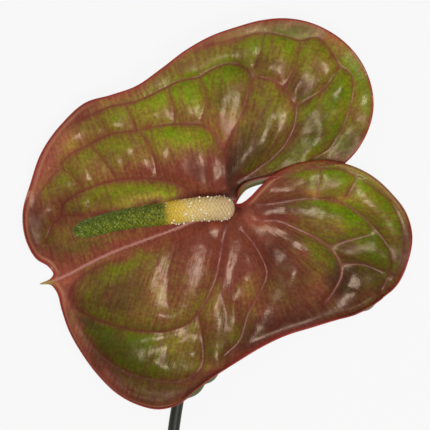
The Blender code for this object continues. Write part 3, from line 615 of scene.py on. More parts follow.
# %% Mesh helpers
def inside(places, loop):
    """Whether each place lies inside a closed loop."""
    ax, ay = np.array(loop).T
    bx, by = np.roll(ax, -1), np.roll(ay, -1)
    result = []
    for part in np.array_split(places, max(1, len(places) // 3000)):
        px, py = part[:, :1], part[:, 1:]
        crosses = (ay > py) != (by > py)
        reach = ax + (py - ay) / np.where(by == ay, 1e-9, by - ay) * (bx - ax)
        result.append(np.count_nonzero(crosses & (px < reach), axis=1) % 2 == 1)
    return np.concatenate(result)


def spread_points(fixed, wanted, apart):
    """Keeps each wanted place that is far enough from the fixed and the kept ones."""
    cells = {}

    def cell(place):
        return int(place[0] // apart), int(place[1] // apart)

    def crowded(place):
        i, j = cell(place)
        for a in (i - 1, i, i + 1):
            for b in (j - 1, j, j + 1):
                for x, y in cells.get((a, b), ()):
                    if (x - place[0]) ** 2 + (y - place[1]) ** 2 < apart**2:
                        return True
        return False

    for place in fixed:
        cells.setdefault(cell(place), []).append(tuple(place))
    kept = []
    for place in wanted:
        if not crowded(place):
            cells.setdefault(cell(place), []).append(tuple(place))
            kept.append(tuple(place))
    return kept


# %% [markdown]
# ## Filling a half
#
# Between the rim's foot and the midrib the skin is a height over the plan, so it only needs
# a good net of points. A plain grid would cut across the veins and fray at the outline. Here
# one row runs along each vein with a row close on each side, which keeps the cord crisp, and
# an even honeycomb lies between. A Delaunay triangulation joins them into triangles that are
# as even as can be.

# %% The net of one half
VEIN_FLANK = 0.55  # distance of the rows beside a vein's middle
ON_VEINS = 0.55  # least spacing of the net's points, in mesh steps
BESIDE_VEINS = 0.5
BETWEEN_VEINS = 0.7


def rows_along(line):
    """Points along a vein's middle, and in a row on its right and on its left."""
    middle = smooth_line(line, MESH_STEP)[:, :2]
    side = square_to(middle) * VEIN_FLANK
    return list(middle), list(middle + side), list(middle - side)


def net(half, border):
    """Inner points of a half, on its veins and between them."""
    on_veins = []
    beside = []
    for _, line in half.veins:
        middle, right, left = rows_along(line)
        on_veins += middle
        beside += right + left
    _, right, left = rows_along(MIDRIB)
    beside += right if half.side > 0 else left
    kept = spread_points(border, on_veins, MESH_STEP * ON_VEINS)
    kept += spread_points(border + kept, beside, MESH_STEP * BESIDE_VEINS)
    low, high = np.min(border, axis=0), np.max(border, axis=0)
    row_gap = MESH_STEP * math.sqrt(3) / 2
    honeycomb = [
        (x, y)
        for row, y in enumerate(np.arange(low[1], high[1], row_gap))
        for x in np.arange(low[0] + (row % 2) * MESH_STEP / 2, high[0], MESH_STEP)
    ]
    kept += spread_points(border + kept, honeycomb, MESH_STEP * BETWEEN_VEINS)
    kept = np.array(kept)
    return kept[inside(kept, border)]


def fill(border, inner):
    """Triangles between the border and the inner points, as places and faces."""
    # The 1 keeps what lies inside the border, and the last number is how exact it has to be.
    places = [Vector(p) for p in border] + [Vector(p) for p in inner]
    flat, _, faces, origin, _, _ = delaunay_2d_cdt(
        places, [], [list(range(len(border)))], 1, 1e-5
    )
    flat = np.array([p[:] for p in flat])
    owner = [min(came) if came else -1 for came in origin]
    return flat, faces, owner


# %% [markdown]
# ## Building the spathe
#
# The leaf is one skin, so its two halves are filled one after the other in a single mesh and
# share the midrib. Then the rim is extruded from their border row by row, each new row moved
# to its place on the arc. Each point remembers where it lies on the flattened blade, so that
# the colours can be laid out on the flat heart later.

# %% The shared midrib
RIB_GROWS = (0, 8)  # the midrib's cord rises over this much of its length
RIB_AWAY = 4  # the midrib's points count as lying so far from the edge
spathe = bmesh.new()
flat_x = spathe.verts.layers.float.new("flat_x")
flat_y = spathe.verts.layers.float.new("flat_y")
from_edge = spathe.verts.layers.float.new("from_edge")


def set_flat(vert, place, away):
    """Notes where a point lies on the flattened blade, and how far from its edge."""
    vert[flat_x], vert[flat_y] = place[0], place[1]
    vert[from_edge] = away


def add_midrib(bm):
    """The row of points that the two halves share."""
    line = smooth_line(MIDRIB, MESH_STEP)
    rise = (upper.height(line) + lower.height(line)) / 2
    rise += CORD_RISE * smooth_step(*RIB_GROWS, np.arange(len(line)) * MESH_STEP)
    rib = [bm.verts.new((x, y, z)) for (x, y), z in zip(line, rise)]
    for vert in rib:
        set_flat(vert, vert.co, RIB_AWAY)
    return rib


# %% Fill one half
def fill_half(bm, half, rib):
    """Fills one half and returns the points at the foot of its rim, with the rim's rows."""
    rows, foot, outward, width = rim_rows(half)
    if half.side > 0:
        rib = rib[::-1]
    first, last = rib[0], rib[-1]
    known = [first] + [None] * (len(foot) - 2) + rib[:0:-1]
    border = [tuple(first.co[:2])] + [tuple(p) for p in foot[1:-1]]
    border += [tuple(v.co[:2]) for v in rib[:0:-1]]
    flat, faces, owner = fill(border, net(half, border))
    height = half.height(flat) + half.detail(flat)
    feet = plan_tree(foot)
    verts = []
    for place, rise, came in zip(flat, height, owner):
        on_border = 0 <= came < len(border)
        if on_border and known[came]:
            verts.append(known[came])
            continue
        vert = bm.verts.new((place[0], place[1], rise))
        _, near, away = feet.find((place[0], place[1], 0))
        set_flat(vert, place, away + width[near])
        verts.append(vert)
        if on_border:
            known[came] = vert
            vert.co.z = rows[0, came, 2]
    for face in faces:
        corners = [verts[k] for k in face]
        (ax, ay), (bx, by), (cx, cy) = (flat[k] for k in face)
        if (bx - ax) * (cy - ay) - (by - ay) * (cx - ax) < 0:
            corners.reverse()
        bm.faces.new(corners)
    return known[: len(foot) - 1] + [last], rows, (foot, outward, width)


# %% Grow the rim, row by row
def extrude_row(bm, chain):
    """Extrudes a row of points, open or closed, and returns the new row."""
    following = chain[1:]
    if bm.edges.get((chain[-1], chain[0])):
        following = following + chain[:1]
    edges = [bm.edges.get(pair) for pair in zip(chain, following)]
    made = bmesh.ops.extrude_edge_only(bm, edges=edges)
    fresh = {v for v in made["geom"] if isinstance(v, bmesh.types.BMVert)}
    return [
        next(e.other_vert(v) for e in v.link_edges if e.other_vert(v) in fresh)
        for v in chain
    ]


def grow_rim(bm, feet, rows, plan):
    """The turned rim, row by row. Its two ends stay in the notch and at the cusp."""
    foot, outward, width = plan
    first, last = feet[0].co.copy(), feet[-1].co.copy()
    chain = feet
    for number in range(1, len(rows)):
        chain = extrude_row(bm, chain)
        part = number / (len(rows) - 1)
        for k, vert in enumerate(chain):
            vert.co = rows[number, k]
            set_flat(vert, foot[k] + outward[k] * width[k] * part, width[k] * (1 - part))
        chain[0].co, chain[-1].co = first, last


rib = add_midrib(spathe)
notch, cusp = rib[0].co.copy(), rib[-1].co.copy()
for half in (upper, lower):
    grow_rim(spathe, *fill_half(spathe, half, rib))
ends = [v for v in spathe.verts if min((v.co - notch).length, (v.co - cusp).length) < 1e-4]
bmesh.ops.remove_doubles(spathe, verts=ends, dist=1e-3)
print("upper face:", len(spathe.verts), "points,", len(spathe.faces), "faces")

# %% [markdown]
# ## Giving the blade its thickness
#
# A Solidify modifier would push the underside along the normals, and in the tight grooves of
# this skin that crosses. So the underside is a turned-over copy, set straight down between
# the veins and square to the blade only in the rolled rim. Three more rows extruded along a
# half circle round off the edge. The back has small bumps of its own close to the lower rim,
# which show past it from above, and two flat spots that the flower rests on.

# %% Where the underside lies
EDGE_ROWS = 3
EDGE_REACH = 0.4  # the rounding stands out no further, even at the thick heart
SWOLLEN_REACH = 6  # the blade is thicker so far round the heart
BACK_BULGES = [(-16.3, -73.4, 4.2), (-9.8, -68.4, 3.4), (53.6, -40.0, 3.2)]
BULGE_DEPTH = 1.1
STEEPEST = 0.6  # up to this lean, as the normal's height, the blade keeps its thickness
FACING_UP = 0.3  # the stem's seat is flattened only where the normal is higher than this
# Distances from the edge between which each of these comes in or goes out:
THICK_STARTS = (2.5, 6)  # the thick heart
LEAN_STOPS = (5.0, 1.5)  # the underside's place square to the blade, not below it
BULGE_STARTS = (0.3, 2.0)  # the small bumps of the back
EDGE_FINISH = 1  # numbers of the materials; the upper face has 0
BACK_FINISH = 2


def underside_place(vert):
    """Where the underside lies for a point of the upper face."""
    from_heart = math.hypot(vert[flat_x], vert[flat_y])
    away = vert[from_edge]
    swollen = float(hump(from_heart, SWOLLEN_REACH) * smooth_step(*THICK_STARTS, away))
    thick = float(edge_thickness(away)) + (HEART_BLADE - BLADE) * swollen
    share = float(smooth_step(*LEAN_STOPS, away))
    plumb = Vector((0, 0, 1 / max(vert.normal.z, STEEPEST)))
    place = vert.co - (vert.normal * share + plumb * (1 - share)) * thick
    for x, y, reach in BACK_BULGES:
        off = (vert.co.xy - Vector((x, y))).length / reach
        if off < 1:
            depth = BULGE_DEPTH * float(smooth_step(*BULGE_STARTS, away))
            place -= vert.normal * depth * (1 - off * off)
    if place.xy.length < SEAT_RADIUS * 2 and vert.normal.z > FACING_UP:
        seated = float(smooth_step(SEAT_RADIUS * 2, SEAT_RADIUS, place.xy.length))
        place.z += (SEAT_HEIGHT - place.z) * seated
    for spot in REST_SPOTS:
        if (place.xy - Vector(spot)).length < REST_RADIUS:
            place.z = 0
    place.z = max(place.z, 0)
    return place


# %% Turn the copy over and round off the edge
def ordered_border(bm):
    """The points round the open edge, in the order in which its faces run."""
    after = {}
    for edge in bm.edges:
        if edge.is_boundary:
            loop = edge.link_loops[0]
            after[loop.vert] = loop.link_loop_next.vert
    chain = [next(iter(after))]
    while after[chain[-1]] is not chain[0]:
        chain.append(after[chain[-1]])
    return chain


def close_blade(bm):
    """Adds the underside and the rounded edge, and numbers the faces' materials."""
    bm.normal_update()
    border = ordered_border(bm)
    below = {v: underside_place(v) for v in bm.verts}
    outward = {}
    for before, vert, after in zip(border[-1:] + border, border, border[1:] + border[:1]):
        outward[vert] = (after.co - before.co).normalized().cross(vert.normal)
    made = bmesh.ops.duplicate(bm, geom=bm.verts[:] + bm.edges[:] + bm.faces[:])
    twin = made["vert_map"]
    lower_faces = [f for f in made["geom"] if isinstance(f, bmesh.types.BMFace)]
    for vert, place in below.items():
        twin[vert].co = place
    bmesh.ops.reverse_faces(bm, faces=lower_faces)
    for face in lower_faces:
        face.material_index = BACK_FINISH
    skins = set(bm.faces)
    chain = border
    for number in range(1, EDGE_ROWS + 1):
        chain = extrude_row(bm, chain)
        angle = math.pi * number / EDGE_ROWS
        for vert, over in zip(chain, border):
            half_way = (over.co - twin[over].co) / 2
            middle = (over.co + twin[over].co) / 2
            swung = half_way * math.cos(angle)
            reach = min(half_way.length, EDGE_REACH)
            vert.co = middle + swung + outward[over] * reach * math.sin(angle)
            vert[from_edge] = 0
    for face in bm.faces:
        if face not in skins:
            face.material_index = EDGE_FINISH
    bmesh.ops.weld_verts(bm, targetmap={v: twin[over] for v, over in zip(chain, border)})
    bmesh.ops.recalc_face_normals(bm, faces=bm.faces[:])


close_blade(spathe)
open_edges = [e for e in spathe.edges if len(e.link_faces) != 2]
print("spathe:", len(spathe.faces), "faces, open edges:", len(open_edges))

# %% [markdown]
# ## Into the frame
#
# Each finished mesh is moved from its millimetres round the heart to its place in the frame,
# in metres. The object could be moved and scaled instead, but when the move is made in the
# mesh the object stays at the origin, as the frame asks.

# %% Place a finished mesh
def as_object(bm, name):
    """Puts a finished mesh into the scene."""
    mesh = bpy.data.meshes.new(name)
    bm.to_mesh(mesh)
    bm.free()
    made = bpy.data.objects.new(name, mesh)
    bpy.context.scene.collection.objects.link(made)
    return made


def place_piece(bm, name, node=None):
    """Moves a mesh from its millimetres into the frame and makes it a piece."""
    bmesh.ops.translate(bm, verts=bm.verts[:], vec=Vector(HEART))
    bmesh.ops.scale(bm, verts=bm.verts[:], vec=(METRES,) * 3)
    piece = as_object(bm, name)
    piece.data.shade_smooth()
    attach(piece, "root")
    if node:
        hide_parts(node)
    return piece


blade = place_piece(spathe, "spathe_skin", "spathe")

# %% [markdown]
# ## Laying out the colours
#
# An anthurium of this kind is green where the skin is youngest and red-brown near the heart,
# along the veins and in the rim. The green lies in patches, one or two to a blister, mostly
# on the side away from the heart. A brush could paint them on the mesh, but every change
# would mean painting again. Here each patch is a soft oval with its own place, size and
# turn: small strong ones make the green, and broad weak ones the olive between.

# %% Green and olive patches
# Each row: x, y, half length, half width, strength, and the turn in degrees if it has one.
GREEN_UPPER = [
    (-12.4, 60.8, 7, 4, 0.5, 25), (-3.4, 62.8, 5, 5, 0.45), (-32.4, 50, 9, 3, 0.5, 25),
    (-22.4, 55.8, 6, 3.5, 0.5, 30), (-19.4, 46.5, 6, 5.5, 0.95), (-32.4, 42, 7, 5, 0.9, 15),
    (-48.4, 36, 6.5, 4, 0.6, 10), (-63.4, 30.8, 6, 3, 0.3, 25), (-2.8, 53.5, 8, 4.5, 1.0),
    (-2, 46, 6, 6, 0.5), (-25, 28.6, 12, 5, 0.9), (-14, 27.5, 7, 6, 0.75, -20),
    (-45.4, 24.2, 8, 5, 0.6, 5), (-62, 18.5, 7, 5, 0.55, 25), (-52.5, 25, 5, 3, 0.5, 10),
    (-68, 11, 8, 3.5, 0.6, 35), (-76.4, 6.5, 6, 4, 0.5, 45), (-46, 6.8, 17, 4.5, 0.85),
    (-63, 2.3, 6, 3, 0.5, 15), (-64, -8, 6, 4, 0.3), (6.4, 63.5, 5.5, 6, 0.95),
    (19.6, 63.5, 6, 5, 0.85), (16.5, 57, 6, 6, 0.3), (12, 70, 14, 2.5, 0.35),
    (31.6, 61, 7, 5, 0.7, -20), (27, 54, 6, 6, 0.15), (46.6, 59.5, 3.5, 6, 0.7, 35),
    (51.4, 45, 3, 8, 0.75), (41.8, 50, 4.5, 9, 1.0, -30), (35, 41, 7, 8, 0.85, -30),
    (28, 36.5, 5, 5, 0.75), (38.5, 31.5, 6, 5, 0.85, -10), (26, 25, 8, 3.5, 0.6, 35),
    (33, 25, 6, 3, 0.55, 20), (43, 25.5, 4, 3.5, 0.65), (49, 36, 3, 8, 0.55, -10),
    (9.6, 45.5, 7, 5, 0.4), (15, 40, 6, 8, 0.25), (12, 32, 7, 7, 0.25), (4, 24, 5, 8, 0.25, -10),
    (-15, 50, 8, 5, 0.5), (45, 45, 5, 8, 0.5, -20), (22, 19, 24, 3.5, 0.7, 10),
    (-20, 22, 8, 4, 0.4), (-32, 6, 9, 3, 0.5), (17, 71, 15, 4, 0.6), (-13, 43, 6, 8, 0.5),
    (52, 48, 3, 9, 0.6), (-34, 7, 9, 3, 0.5), (-76, -13, 5, 5, 0.3),
]
GREEN_LOWER = [
    (23, 15, 6.5, 3, 0.85, 10), (30, 11, 4, 5, 0.5), (38.5, 14, 6, 4, 0.95, -10),
    (41.6, 9.5, 5, 4, 0.85), (51, 8.2, 6.5, 4.5, 0.95, -35), (60.5, 0.5, 8, 4.5, 0.9, -60),
    (57.5, -3.5, 6, 4, 0.85, -45), (27, 0.8, 16, 2.8, 0.8, 3), (45.6, -2.4, 9, 5, 1.0, -20),
    (55.6, -16, 6.5, 7, 1.0), (50, -12, 5, 3, 0.75, -10), (64.8, -9, 3, 8, 0.8),
    (64, -23.5, 2.5, 4, 0.6), (34.5, -16.5, 6, 7, 0.8, -45), (38.5, -22, 3, 5, 0.6),
    (55.6, -29, 5.5, 3.5, 0.6, 20), (52, -24.5, 6, 2.5, 0.45), (-2.4, -47, 3.8, 8, 0.6, -15),
    (1.5, -50.5, 3, 5, 0.5, -20), (6, -45, 4.5, 7, 0.3, -15), (-8.4, -54, 4.5, 9, 0.4, -10),
    (15.5, -38, 5, 6, 0.3, -20), (17, -16, 8, 4, 0.15, -40), (-45, -24, 15, 3.8, 0.75, 22),
    (-58, -34, 8, 5, 0.4, 30), (-40, -36, 12, 8, 0.3), (-13, -38, 4, 7, 0.35, -25),
    (-52.8, -52, 9, 5, 0.95, -25), (-39, -53.5, 9, 6, 0.95), (-25, -54, 8, 7, 0.55),
    (-42, -63, 13, 4.5, 0.65, -20), (-19, -61, 5, 8, 0.65), (-27, -73, 12, 3, 0.4, 5),
    (-45, -70, 8, 3, 0.25, -35), (-30, -65, 8, 4, 0.55), (30, -6, 8, 5, 0.4),
    (61, -20, 3, 10, 0.7), (-55, -43, 12, 4, 0.5), (-33, -76, 18, 3, 0.3),
    (53, 12, 9, 3, 0.5, -40), (-18, -45, 5, 5, 0.4), (26, -13, 5, 4, 0.3), (12, -30, 5, 6, 0.2),
    (32, -2, 6, 3, 0.4),
]
OLIVE_UPPER = [
    (-42, 38, 36, 12, 0.5, 22), (15, 64, 32, 12, 0.5), (40, 42, 20, 26, 0.5, -20),
    (-60, 10, 20, 12, 0.3, 30), (-25, 22, 30, 10, 0.3), (12, 38, 14, 16, 0.3),
    (-66, -13, 12, 6, 0.3), (-42, 3, 17, 4, 0.5, 7), (-15, 53, 22, 4, 0.5, 22),
    (50, 50, 4, 9, 0.6, 20), (17, 70, 14, 4, 0.6), (-62, 20, 8, 3, 0.5, 20), (0, 37, 3, 10, 0.3),
    (-58, -14, 18, 4, 0.5, 12), (-15, 60, 6, 2.5, 0.4, 20), (-5, 38, 5, 6, 0.2),
    (20, 40, 4, 5, 0.3), (-76, -10, 5, 8, 0.3), (-25, 23, 8, 3, 0.3), (-45, 2, 16, 3, 0.3, 5),
    (2, 35, 4, 6, 0.25), (-5, 9, 4, 2, 0.3), (-28, 50, 6, 4, 0.3, 20), (53, 42, 3, 12, 0.5),
    (-67, 26, 5, 4, 0.35, 30), (-15, 42, 6, 5, 0.2), (38, 56, 3, 3, 0.3), (45, 43, 3, 5, 0.3),
]
OLIVE_LOWER = [
    (45, 5, 30, 14, 0.5, -20), (52, -18, 18, 20, 0.5), (30, -28, 16, 12, 0.25, -30),
    (-45, -33, 24, 18, 0.3, 10), (-38, -60, 26, 14, 0.35, -15), (-5, -50, 12, 14, 0.25),
    (-20, -30, 12, 16, 0.2), (25, 17, 16, 2.5, 0.5), (50, 13, 12, 3, 0.6, -35),
    (60, -8, 3, 8, 0.4), (-62, -25, 14, 3, 0.4, 22), (-50, -47, 8, 3, 0.3), (5, -33, 4, 6, 0.3),
    (-14, -64, 5, 3, 0.3), (-9, -33, 3, 10, 0.3, 10), (-48, -17, 22, 2.5, 0.4, 20),
    (35, 17, 16, 2.5, 0.4), (6, -33, 4, 7, 0.3), (30, -28, 8, 8, 0.3), (25, -35, 18, 10, 0.45),
    (8, -34, 4, 9, 0.3), (-10, -64, 5, 2.5, 0.4, 30), (54, -39, 3, 3, 0.4),
]
print("green patches:", len(GREEN_UPPER + OLIVE_UPPER), "and", len(GREEN_LOWER + OLIVE_LOWER))

# %% [markdown]
# ## Flushed places, painted shade and pale places
#
# Over the green the real skin carries a red flush at the heart, in the rim and across some
# blisters. Painted shade makes it nearly black in the hollows beside the heart and under
# folds. It is rosy along the rolled rim, with some painted sheen there and on a few blisters,
# pale on a few veins, where the pale is partly painted sheen, and lime green at the very tip.
# Each of these is a coat of its own, laid out in ovals like the green, so that its colour is
# a single line in the material.

# %% Painted shade, red, pink and sheen, pale and lime places
# Painted shade: nearly black in the hollows beside the heart, darker under folds and slopes.
PAINTED_SHADE = [
    (-2.6, 14, 2.6, 10, 0.9), (0.8, 21, 3, 8, 0.55, -20), (2.5, 9, 3.5, 4, 0.7),
    (-1, 4.5, 5, 3.5, 0.75), (15.6, -19, 6, 4, 0.45, -45), (27, -36, 12, 6, 0.1, 20),
    (42, -30, 7, 6, 0.45), (24, -13, 6, 3.5, 0.35, -35), (34, 50, 6, 6, 0.2),
    (-60, -46.8, 9, 2, 0.5, -20), (-72, -16, 6, 8, 0.3), (47, -20, 4, 5, 0.25),
    (-66, 10, 5, 3, 0.25, 40), (7, 20, 11, 4, 0.4, 50), (12, -46, 10, 4, 0.3, 25),
    (-50, -56, 16, 9, 0.5, -25), (-50, -36, 14, 8, 0.35, 20), (52, -27, 14, 8, 0.4),
    (25, -40, 18, 7, 0.1, 15), (58, -8, 8, 16, 0.2), (-30, -68, 18, 6, 0.3),
    (1, -1, 2.5, 3.5, 0.7, 20), (-1, 5, 2, 4, 0.5),
]
RED = [
    (-17, 58, 12, 3, 0.5, 25), (-38, 47, 8, 3, 0.4, 20), (18, 58, 4, 8, 0.3), (33, 47, 5, 5, 0.4),
    (31, 33, 5, 6, 0.3), (32, 61, 5, 3, 0.3), (30, -36, 9, 5, 0.4), (14, -44, 5, 5, 0.4),
    (42, 6, 5, 4, 0.3), (55, -3, 8, 3, 0.3, -45), (-42, 3, 12, 5, 0.2), (-60, -13, 12, 5, 0.3),
    (-40, -16, 10, 3, 0.4, 20), (-68, -29, 9, 2.6, 0.7, 22), (-50, -19, 22, 1.6, 0.3, 22),
    (-78, 20, 14, 5, 0.7, 60), (-84, -4, 8, 5, 0.5, 90), (-76, -18, 7, 5, 0.4, 40),
    (-14, -14, 14, 10, 0.5, 60), (-18, 18, 10, 7, 0.55), (-6, 12, 4, 8, 0.5),
    (8, -30, 6, 14, 0.55, -15), (14, -2, 10, 4, 0.5), (-68, -38, 3, 10, 0.5, -20),
    (-50, -70, 18, 4, 0.5, -40), (30, -45, 22, 4, 0.15, 15), (-2, -22, 4, 12, 0.5),
    (24, -28, 9, 7, 0.3), (34, 56, 4, 3, 0.3), (-68, 38, 12, 4, 0.5, 35), (10, 74, 30, 2.5, 0.25),
    (-63, 18, 7, 7, 0.35), (-47, 29, 9, 7, 0.2), (31, -34, 12, 6, 0.5, 15), (51, -30, 8, 4, 0.3),
    (14, -42, 8, 5, 0.4), (58, -2, 5, 3, 0.3, -45), (-30, -11, 22, 2.5, 0.25, 22),
    (-58, -66, 20, 4, 0.6, -48), (-8, -66, 14, 4, 0.6, 35), (30, -30, 14, 10, 0.4),
    (20, -18, 8, 8, 0.3), (-40, 14, 18, 3, 0.3, 10), (-15, 11, 6, 4, 0.4), (-45, -38, 8, 8, 0.25),
    (-20, -60, 6, 8, 0.3), (-60, -62, 16, 3, 0.7, -55), (-20, -75, 16, 2.5, 0.5),
    (0, -44, 3, 6, 0.5), (0, 47, 5, 4, 0.25), (5, 61, 3, 5, 0.3), (32, 70, 4, 3, 0.3),
    (15, -1, 8, 3, 0.5), (-65, 7, 6, 4, 0.25), (-36, 23, 7, 3, 0.2), (46, -14, 5, 5, 0.25),
    (63, -15, 3, 7, 0.3), (-58, -28, 6, 3, 0.3, 20), (12, -43, 4, 4, 0.3), (48, 37, 3, 5, 0.3),
    (-6, -49, 4, 4, 0.3), (-60, -62, 12, 2.5, 0.5, -55), (-80, -19, 5, 4, 0.3),
    (17, 0, 9, 2.5, 0.4), (27, 7, 5, 3, 0.3), (-15, 14, 3, 4, 0.4), (-13, 32, 5, 3, 0.3),
    (63, -14, 3, 6, 0.3), (52, -22, 5, 4, 0.25), (35, -12, 5, 3, 0.25), (-64, 36, 7, 3, 0.3, 30),
    (-60, 28, 5, 3, 0.25), (-74, 2, 4, 6, 0.25), (2, -3, 4, 4, 0.3), (-70, 33, 14, 4, 0.3, 45),
    (-58, -61, 10, 3, 0.6, -55), (15, 0, 7, 2, 0.5), (-60, -61, 3, 9, 0.4, 35),
    (-84, -12, 3, 9, 0.3, 15), (70, -15, 2.5, 9, 0.3), (-15, 14, 4, 4, 0.3), (51, 39, 3, 5, 0.25),
]
# Pink, mostly along the rolled rim; some ovals are painted sheen on blisters and the rim.
PINK_AND_SHEEN = [
    (21, 40, 2, 6, 0.5, -10), (0, 35, 3.5, 9, 0.5, -20), (-70, 33, 16, 3, 0.6, 45),
    (-83, 10, 14, 2.5, 0.6, 77), (-48, -18, 28, 2, 0.25, 22), (-70, -27, 8, 4, 0.4, 20),
    (-74, 18, 13, 3.5, 0.5, 60), (4, 70, 24, 3.5, 0.75, 12), (-82, 2, 18, 3, 0.5, 80),
    (-64.5, -50, 18, 3.5, 0.8, -63), (-50, -72, 12, 3, 0.5, -40), (40, 67, 8, 2.5, 0.6, -42),
    (-70, -38, 8, 2.5, 0.5, -72), (-67, 27.5, 5, 4, 0.5, 30), (-24, 60, 14, 1.8, 0.4, 30),
    (-45, 46, 10, 1.8, 0.4, 18),
]
# Pale veins, where the pale is partly a painted sheen along their ridges.
PALE_AND_SHEEN = [
    (30, -10, 13, 6, 0.6, -25), (42, -24, 8, 14, 0.6), (24, 30, 8, 18, 0.25),
    (-1, -30, 5, 26, 0.4),
]
LIME = [(-77, -30.8, 3.2, 1.6, 1.0)]
print("dark, red and pink places:", len(PAINTED_SHADE), len(RED), len(PINK_AND_SHEEN))

# %% [markdown]
# ## Painted shade, painted light and shine
#
# Some places are painted darker, as shade that falls in hollows and behind other blisters,
# and some are painted lighter, as light that lifts a shadow or adds a highlight; here and
# there the wax is dull. More greens and browns for all that would be endless, so three more
# coats hold the painted shade, the painted light and how dull the skin is, whatever its
# colour. A strength below 0 takes away instead of adding.

